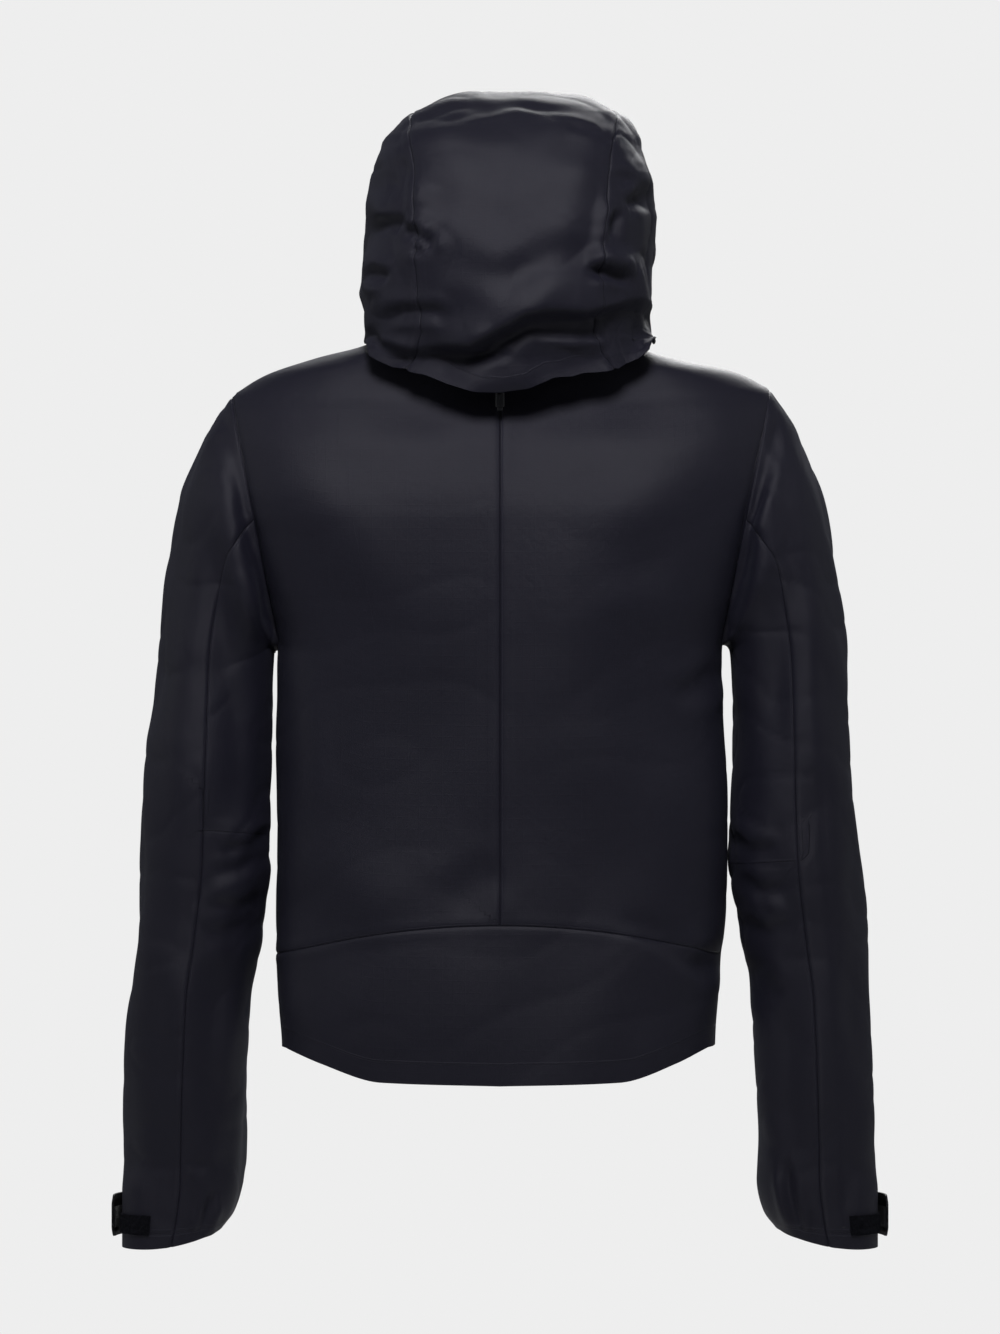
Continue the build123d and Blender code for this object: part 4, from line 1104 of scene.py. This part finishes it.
grid = worn(raw)
edge_x, edge_z = np.array(NAPE_EDGE).T
drop = np.interp(grid[-1, :, 0], edge_x, edge_z) - grid[-1, :, 2]
grid[..., 2] += drop[None] * smooth(leans, 58, NAPE_LEAN)[:, None] ** 1.5
ways = outward(grid)
x, y, z = np.moveaxis(grid, -1, 0)
behind = smooth(y, -.05, .03)
relief = np.zeros(x.shape)
for kind, width, depth, line in HOOD_FOLDS:
    relief += behind * fold(x, z, kind, width, depth, line)
tuck_x, tuck_z = np.array(TUCK_LINE).T
tucked = smooth(np.interp(x, tuck_x, tuck_z) - z, .002, .016)
relief -= .0100 * tucked * behind * smooth(z, -.030, -.002)
slack = 1 - .55 * np.exp(-((x + .01) / .05) ** 2) * smooth(z, .06, .12)
relief += slack * (.0020 * ripple(grid, (.15, .13, .13), 61) + .0010 * ripple(grid, (.06, .07, .055), 62)
                   + .0014 * crumple(grid, (.10, .10, .075), 63))
relief += .0016 * crumple(grid, (.045, .05, .04), 64) * smooth(-x, .07, .11) * behind
crown_column = int(np.abs(shares).argmin())
front_gap = np.interp(leans, crown_leans, crown_run)[:, None]
rim_gap = np.minimum(crown_run[-1] - front_gap, 1)
across, down = laid_flat(grid, crown_column)
from_foot = np.minimum(across - across[:, :1], across[:, -1:] - across)
relief *= smooth(front_gap, .006, .030) * smooth(from_foot, -.004, .030)
seam_columns = [int(np.abs(shares - share).argmin()) for share in (-CROWN_SHARE, CROWN_SHARE)]
gaps = np.stack([across - across[:, column:column + 1] for column in seam_columns])
seam_gap = nearest_seam(gaps)
relief += pressed(seam_gap, .0013)
hood_grid = grid + ways * relief[..., None]
hood_edge = np.minimum(rim_gap - .012, front_gap - .014) * np.ones_like(x)
hood_shell = sew_grid("hood_shell", hood_grid + DATUM, CLOTH, centre=crown_column, seam=seam_gap, run=down,
                      edge=hood_edge)
hood_pieces = [hood_shell]
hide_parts("hood_center_panel", "hood_side_panel_left", "hood_side_panel_right")

brim_leans = np.linspace(-46, -38.4, 14)[:, None]
brim_half, brim_rise = (np.interp(brim_leans, (-46, -42, -38.4), sizes)
                        for sizes in ((.096, .107, .112), (.240, .239, .2365)))
turn = np.linspace(44, 136, 110)[None] * np.ones_like(brim_leans)
grid = arch_point(turn, brim_leans, brim_half, brim_rise, 2.8)
from_front = np.linalg.norm(grid - grid[:1], axis=-1)
from_end = np.minimum(turn - 44, 136 - turn) * .0042
brim = sew_grid("hood_peak", grid + DATUM, .0018, centre=55, run=laid_flat(grid, 55)[0],
                edge=np.minimum(from_front, from_end) - .0030, materials=(shell, shell))
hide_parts("hood_brim")
hood_pieces.append(brim)

edge_leans = np.linspace(-38, -34, 7)[:, None]
edge_half, edge_rise = (.112 + .003 * (edge_leans + 38) / 4), (.236 + .002 * (edge_leans + 38) / 4)
foot = .086 / edge_rise
foot_turn = np.degrees(np.arctan2(foot, (1 - foot ** 2.8) ** (1 / 2.8)))
turn = foot_turn + (180 - 2 * foot_turn) * np.linspace(0, 1, 150)[None]
grid = arch_point(turn, edge_leans, edge_half, edge_rise, 2.82, .0022)
hood_binding = sew_grid("hood_binding_tape", grid + DATUM, .0008, centre=75, run=laid_flat(grid, 75)[0],
                        edge=np.abs(edge_leans + 36) * .0042 * np.ones_like(turn) - .006,
                        materials=(taped, taped))
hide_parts("hood_edge_binding")
hood_pieces.append(hood_binding)
for piece in hood_pieces:
    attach(piece, "hood")
    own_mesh(piece)

# ---- elastic cords -------------------------------------------------------------------------------
# Round elastic with a braided cover: a short doubled end above the hood's lock, and one along each front
# hem, which runs in the tunnel and comes out to its lock.
elastic = cloth_material("braided_elastic", (.008, .008, .010), (.022, .022, .026), .75, .25, .1,
                         thread_size=.0009, depth=.00018, crackle_depth=.0001)


def cord_piece(name, line, radius, sides=12):
    """A round cord along a line of points, closed at its ends."""
    line = np.array(line, float)
    steps = np.concatenate([[0], np.cumsum(np.linalg.norm(np.diff(line, axis=0), axis=1))])
    line = eased(steps, line, np.linspace(0, steps[-1], max(8, round(steps[-1] / .0015))))
    ahead = np.gradient(line, axis=0)
    ahead /= np.linalg.norm(ahead, axis=1, keepdims=True)
    side_way = np.cross(ahead, (0, .31, .95))
    side_way /= np.linalg.norm(side_way, axis=1, keepdims=True)
    up_way = np.cross(side_way, ahead)
    angles = np.linspace(0, 2 * math.pi, sides, endpoint=False)
    ways = side_way[:, None] * np.cos(angles)[None, :, None] + up_way[:, None] * np.sin(angles)[None, :, None]
    grid = line[:, None] + ways * radius
    count = len(line)
    mesh = bpy.data.meshes.new(name)
    faces = [(r + c, r + (c + 1) % sides, r + sides + (c + 1) % sides, r + sides + c)
             for r in range(0, (count - 1) * sides, sides) for c in range(sides)]
    faces += [tuple(reversed(range(sides))), tuple((count - 1) * sides + c for c in range(sides))]
    mesh.from_pydata((grid.reshape(-1, 3) + DATUM).tolist(), [], faces)
    layer = mesh.uv_layers.new(name="cloth")
    for loop in mesh.loops:
        row, column = divmod(loop.vertex_index, sides)
        layer.data[loop.index].uv = (column / sides * 2 * math.pi * radius, row * .0015)
    mesh.materials.append(elastic)
    for face in mesh.polygons[:-2]:
        face.use_smooth = True
    made = bmesh.new()
    made.from_mesh(mesh)
    bmesh.ops.recalc_face_normals(made, faces=made.faces)
    made.to_mesh(mesh)
    made.free()
    for label in ("seam", "run", "edge"):
        mesh.attributes.new(label, "FLOAT", "POINT").data.foreach_set("value", np.ones(len(mesh.vertices)))
    piece = bpy.data.objects.new(name, mesh)
    scene.collection.objects.link(piece)
    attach(piece, "jacket_body")
    return piece


for share in (-1, 1):
    cord_piece(f"hood_elastic_{'left' if share > 0 else 'right'}",
               [(.0011 * share, .1040, -.0318), (.0013 * share, .1042, -.026), (.0030 * share, .1065, -.018),
                (.0080 * share, .1120, -.006), (.0120 * share, .1160, .004)], .0010)


def front_grid(xs, zs):
    """A grid on the left front, from its distances off the centre and its heights, and the way it faces."""
    turns = np.linspace(-89, -4, 240)
    rows = []
    for z in zs:
        along = up_the_side(z) * np.ones_like(turns)
        found = np.interp(xs, body_point(turns, along)[:, 0], turns)
        rows.append(body_point(found, along[0] * np.ones_like(found)))
    grid = np.array(rows)
    ways = outward(grid)
    return grid, -ways if ways[..., 1].mean() > 0 else ways


def body_sheet(name, grid, ways, inward, thickness, side, materials, edge):
    """Cloth that lies inside or outside the body cloth and follows its swell."""
    flip = np.array((side, 1, 1))
    placed = grid * flip
    placed = placed + ways * flip * (body_relief(placed) - inward)[..., None]
    facing = ways * flip
    across, down = laid_flat(placed, 0)
    piece = sew(name, placed.reshape(-1, 3) + DATUM, grid_faces(placed, facing), facing.reshape(-1, 3),
                thickness, across.ravel(), down.ravel(), run=(across + down).ravel(), edge=np.ravel(edge),
                materials=materials)
    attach(piece, "jacket_body")
    return piece


# ---- hem tunnels, pocket bags and seam tape ------------------------------------------------------
# The hem is turned up inside as a tunnel for the elastic. Each pocket bag is a flat bag of thin cloth glued
# inside its front. A waterproof tape covers the centre back seam.
bag_cloth = cloth_material("pocket_bag_cloth", (.018, .018, .021), (.030, .030, .034), .8, .2, .1,
                           thread_size=.0010, depth=.00007, crackle_depth=.0004)
seam_film = cloth_material("seam_film", (.010, .010, .012), (.016, .016, .019), .42, .45, 0,
                           thread_size=.0010, depth=.00002, crackle_depth=.0002)
for side, label in ((1, "left"), (-1, "right")):
    xs, zs = spaced(.042, .150, .0045), spaced(-.555, -.300, .0048)
    grid, ways = front_grid(xs, zs)
    from_side, from_end = np.minimum(xs - .042, .150 - xs), np.minimum(zs + .555, -.300 - zs)
    bag = body_sheet(f"pocket_bag_piece_{label}", grid, ways, .0028, .0010, side, (bag_cloth, bag_cloth),
                     np.minimum(from_side[None], from_end[:, None]) - .004)
    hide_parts(f"pocket_bag_{label}")

    xs, share = spaced(.026, .186, .0050), np.linspace(0, 1, 12)
    grid, ways = front_grid(xs, HEM_Z + .001 + .019 * share)
    tunnel = .0016 + .0034 * np.sin(math.pi * share)[:, None] * np.ones_like(xs)
    edge = np.minimum(share * .019, (1 - share) * .019)[:, None] * np.ones_like(xs) - .0012
    channel = body_sheet(f"hem_tunnel_front_{label}", grid, ways, tunnel, .0006, side, (backing, backing),
                         edge)
    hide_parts(f"hem_channel_front_{label}")

    lock_low, lock_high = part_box(f"hem_cord_lock_{label}")
    lock_middle = (np.array(lock_low) + np.array(lock_high)) / 2 - DATUM
    along = up_the_side(HEM_Z + .0082) * np.ones(240)
    face, line = (body_point(np.linspace(-89, -4, 240), along, inward) for inward in (0, .0034))
    line = line + (face - line) / .0034 * body_relief(face * (side, 1, 1))[:, None]
    xs = np.linspace(.180, .072, 14)
    route = np.stack([np.interp(xs, line[:, 0], line[:, axis]) for axis in range(3)], -1) * (side, 1, 1)
    route = np.vstack([route, lock_middle + (.004 * side, -.008, -.0092), lock_middle + (0, -.001, -.0088),
                       lock_middle + (0, 0, -.0060)])
    drawcord = cord_piece(f"hem_elastic_{label}", route, .0012)
    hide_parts(f"hem_drawcord_{label}")

rows, turns = np.linspace(0, 1, 12)[:, None], spaced(3, 177, .55)[None]
hem_along = up_the_side(HEM_Z) * np.ones_like(turns)
hem_line = body_point(turns, hem_along)
low_z = tail_height(hem_line[..., 0], hem_line[..., 1])
along = up_the_side(low_z + .001 + .019 * rows)
turn = turns * np.ones_like(along)
grid = body_point(turn, along)
ways = outward(grid)
tunnel = .0016 + .0034 * np.sin(math.pi * rows) * np.ones_like(turn)
channel = body_sheet("hem_tunnel_back", grid, ways, tunnel, .0006, 1, (backing, backing),
                     np.minimum(rows, 1 - rows) * .019 * np.ones_like(turn) - .0012)
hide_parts("hem_channel_back")

zs, across_tape = spaced(-.478, -.040, .0042)[:, None], np.linspace(-.010, .010, 9)[None]
half = eased(SIDE_LINE, BODY_SHAPE, up_the_side(zs))[..., 1]
turn = 90 - np.degrees(np.arctan(across_tape / half))
grid = body_point(turn, up_the_side(zs) * np.ones_like(turn))
tape = body_sheet("back_seam_film", grid, outward(grid), .0026, .0003, 1, (seam_film, seam_film),
                  .010 - np.abs(across_tape) * np.ones_like(turn) - .0002)
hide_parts("back_seam_tape")

# ---- front zip, storm flap and hand pockets ------------------------------------------------------
# A moulded tooth zip on woven tape closes the front, with a storm flap of shell cloth behind it. Each hand
# pocket has a slim coated zip under a welt. The pulls are rubber over cord.
flap_low, flap_high = (np.array(corner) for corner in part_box("storm_flap"))
flap_thick = .0012
heights = spaced(flap_low[2], flap_high[2], .0050)[:, None]
xs = spaced(flap_low[0], flap_high[0], .0030)[None]
share = (heights - flap_low[2]) / (flap_high[2] - flap_low[2])
flap_y = flap_low[1] + .0016 + (flap_high[1] - flap_low[1] - flap_thick - .0004) * share * np.ones_like(xs)
grid = np.stack([xs * np.ones_like(flap_y), flap_y, heights * np.ones_like(flap_y)], -1)
ways = np.zeros_like(grid)
ways[..., 1] = -1
across, down = laid_flat(grid, 0)
flap_edge = np.minimum(xs - flap_low[0], flap_high[0] - xs) * np.ones_like(flap_y) - .0022
storm_flap = sew("storm_flap_piece", grid.reshape(-1, 3), grid_faces(grid, ways), ways.reshape(-1, 3),
                 flap_thick, across.ravel(), down.ravel(), run=down.ravel(), edge=flap_edge.ravel(),
                 materials=(shell, backing))
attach(storm_flap, "jacket_body")
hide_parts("storm_flap")


def moulded(name, dark, light, roughness, specular, grain, depth, metallic=0.0):
    """Plastic, rubber or metal with a fine grain, rubbed a little paler and smoother in places."""
    made = bpy.data.materials.new(name)
    made.use_nodes = True
    tree = made.node_tree
    shader = tree.nodes["Principled BSDF"]
    coords = tree.nodes.new("ShaderNodeTexCoord")
    fine = tree.nodes.new("ShaderNodeTexNoise")
    fine.inputs["Scale"].default_value = 1 / grain
    fine.inputs["Detail"].default_value = 5
    rubbed = tree.nodes.new("ShaderNodeTexNoise")
    rubbed.inputs["Scale"].default_value = .12 / grain
    rubbed.inputs["Detail"].default_value = 3
    for texture in (fine, rubbed):
        tree.links.new(coords.outputs["Object"], texture.inputs["Vector"])
    wear = sum_of(tree, "MULTIPLY_ADD", rubbed.outputs["Fac"], 3.2, -1.25, clamp=True)
    shade = mixed(tree, fine.outputs["Fac"], dark, light)
    shade = mixed(tree, sum_of(tree, "MULTIPLY", wear, .5), shade, tuple(c * 1.6 for c in light))
    tree.links.new(shade, shader.inputs["Base Color"])
    tree.links.new(sum_of(tree, "MULTIPLY_ADD", wear, -.10, roughness + .04), shader.inputs["Roughness"])
    shader.inputs["Specular IOR Level"].default_value = specular
    shader.inputs["Metallic"].default_value = metallic
    raise_surface(tree, shader, sum_of(tree, "MULTIPLY", fine.outputs["Fac"], depth))
    return made


def zip_cloth(name, dark, light, thread):
    """Woven zip tape: a fine herringbone that runs up the tape."""
    made = moulded(name, dark, light, .68, .28, .0012, .00003)
    tree = made.node_tree
    shader = tree.nodes["Principled BSDF"]
    coords = tree.nodes.new("ShaderNodeTexCoord")
    parts, flat = tree.nodes.new("ShaderNodeSeparateXYZ"), tree.nodes.new("ShaderNodeCombineXYZ")
    tree.links.new(coords.outputs["Object"], parts.inputs["Vector"])
    tree.links.new(parts.outputs["X"], flat.inputs["X"])
    tree.links.new(parts.outputs["Z"], flat.inputs["Y"])
    threads = use_group(tree, weave, Cloth=flat.outputs["Vector"], Thread=thread, Depth=.00012)
    tree.links.new(mixed(tree, threads.outputs["Grain"], dark, light), shader.inputs["Base Color"])
    raise_surface(tree, shader, threads.outputs["Height"])
    return made


finishes = {
    "zip_metal": moulded("dark_zip_metal", (.030, .030, .033), (.055, .055, .060), .34, .5, .0016, .00003,
                         metallic=.9),
    "rubber_pull": moulded("soft_rubber", (.006, .006, .007), (.012, .012, .014), .58, .35, .0009, .00005),
    "lock_plastic": moulded("glossy_plastic", (.0035, .0035, .0045), (.006, .006, .0075), .16, .55, .0022,
                            .00001),
    "zip_tape": zip_cloth("woven_zip_tape", (.007, .007, .008), (.017, .017, .020), .0011),
    "laminate": zip_cloth("coated_zip_tape", (.006, .006, .007), (.012, .012, .014), .0008),
}
FINISH_OF = {
    "front_zip_tape": "zip_tape", "pocket_zip": "laminate", "front_zip_box": "zip_metal",
    "front_zip_slider": "zip_metal", "front_zip_pull": "rubber_pull", "pocket_zip_slider": "zip_metal",
    "pocket_zip_pull": "rubber_pull", "hood_cord_lock": "lock_plastic",
    "hood_cord_lock_button": "lock_plastic", "hem_cord_lock": "lock_plastic",
    "hem_cord_lock_button": "lock_plastic",
}
for node, made in FINISH_OF.items():
    for ending in ("", "_left", "_right"):
        cad_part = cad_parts.get(node + ending)
        if cad_part:
            cad_part.data.materials.clear()
            cad_part.data.materials.append(finishes[made])
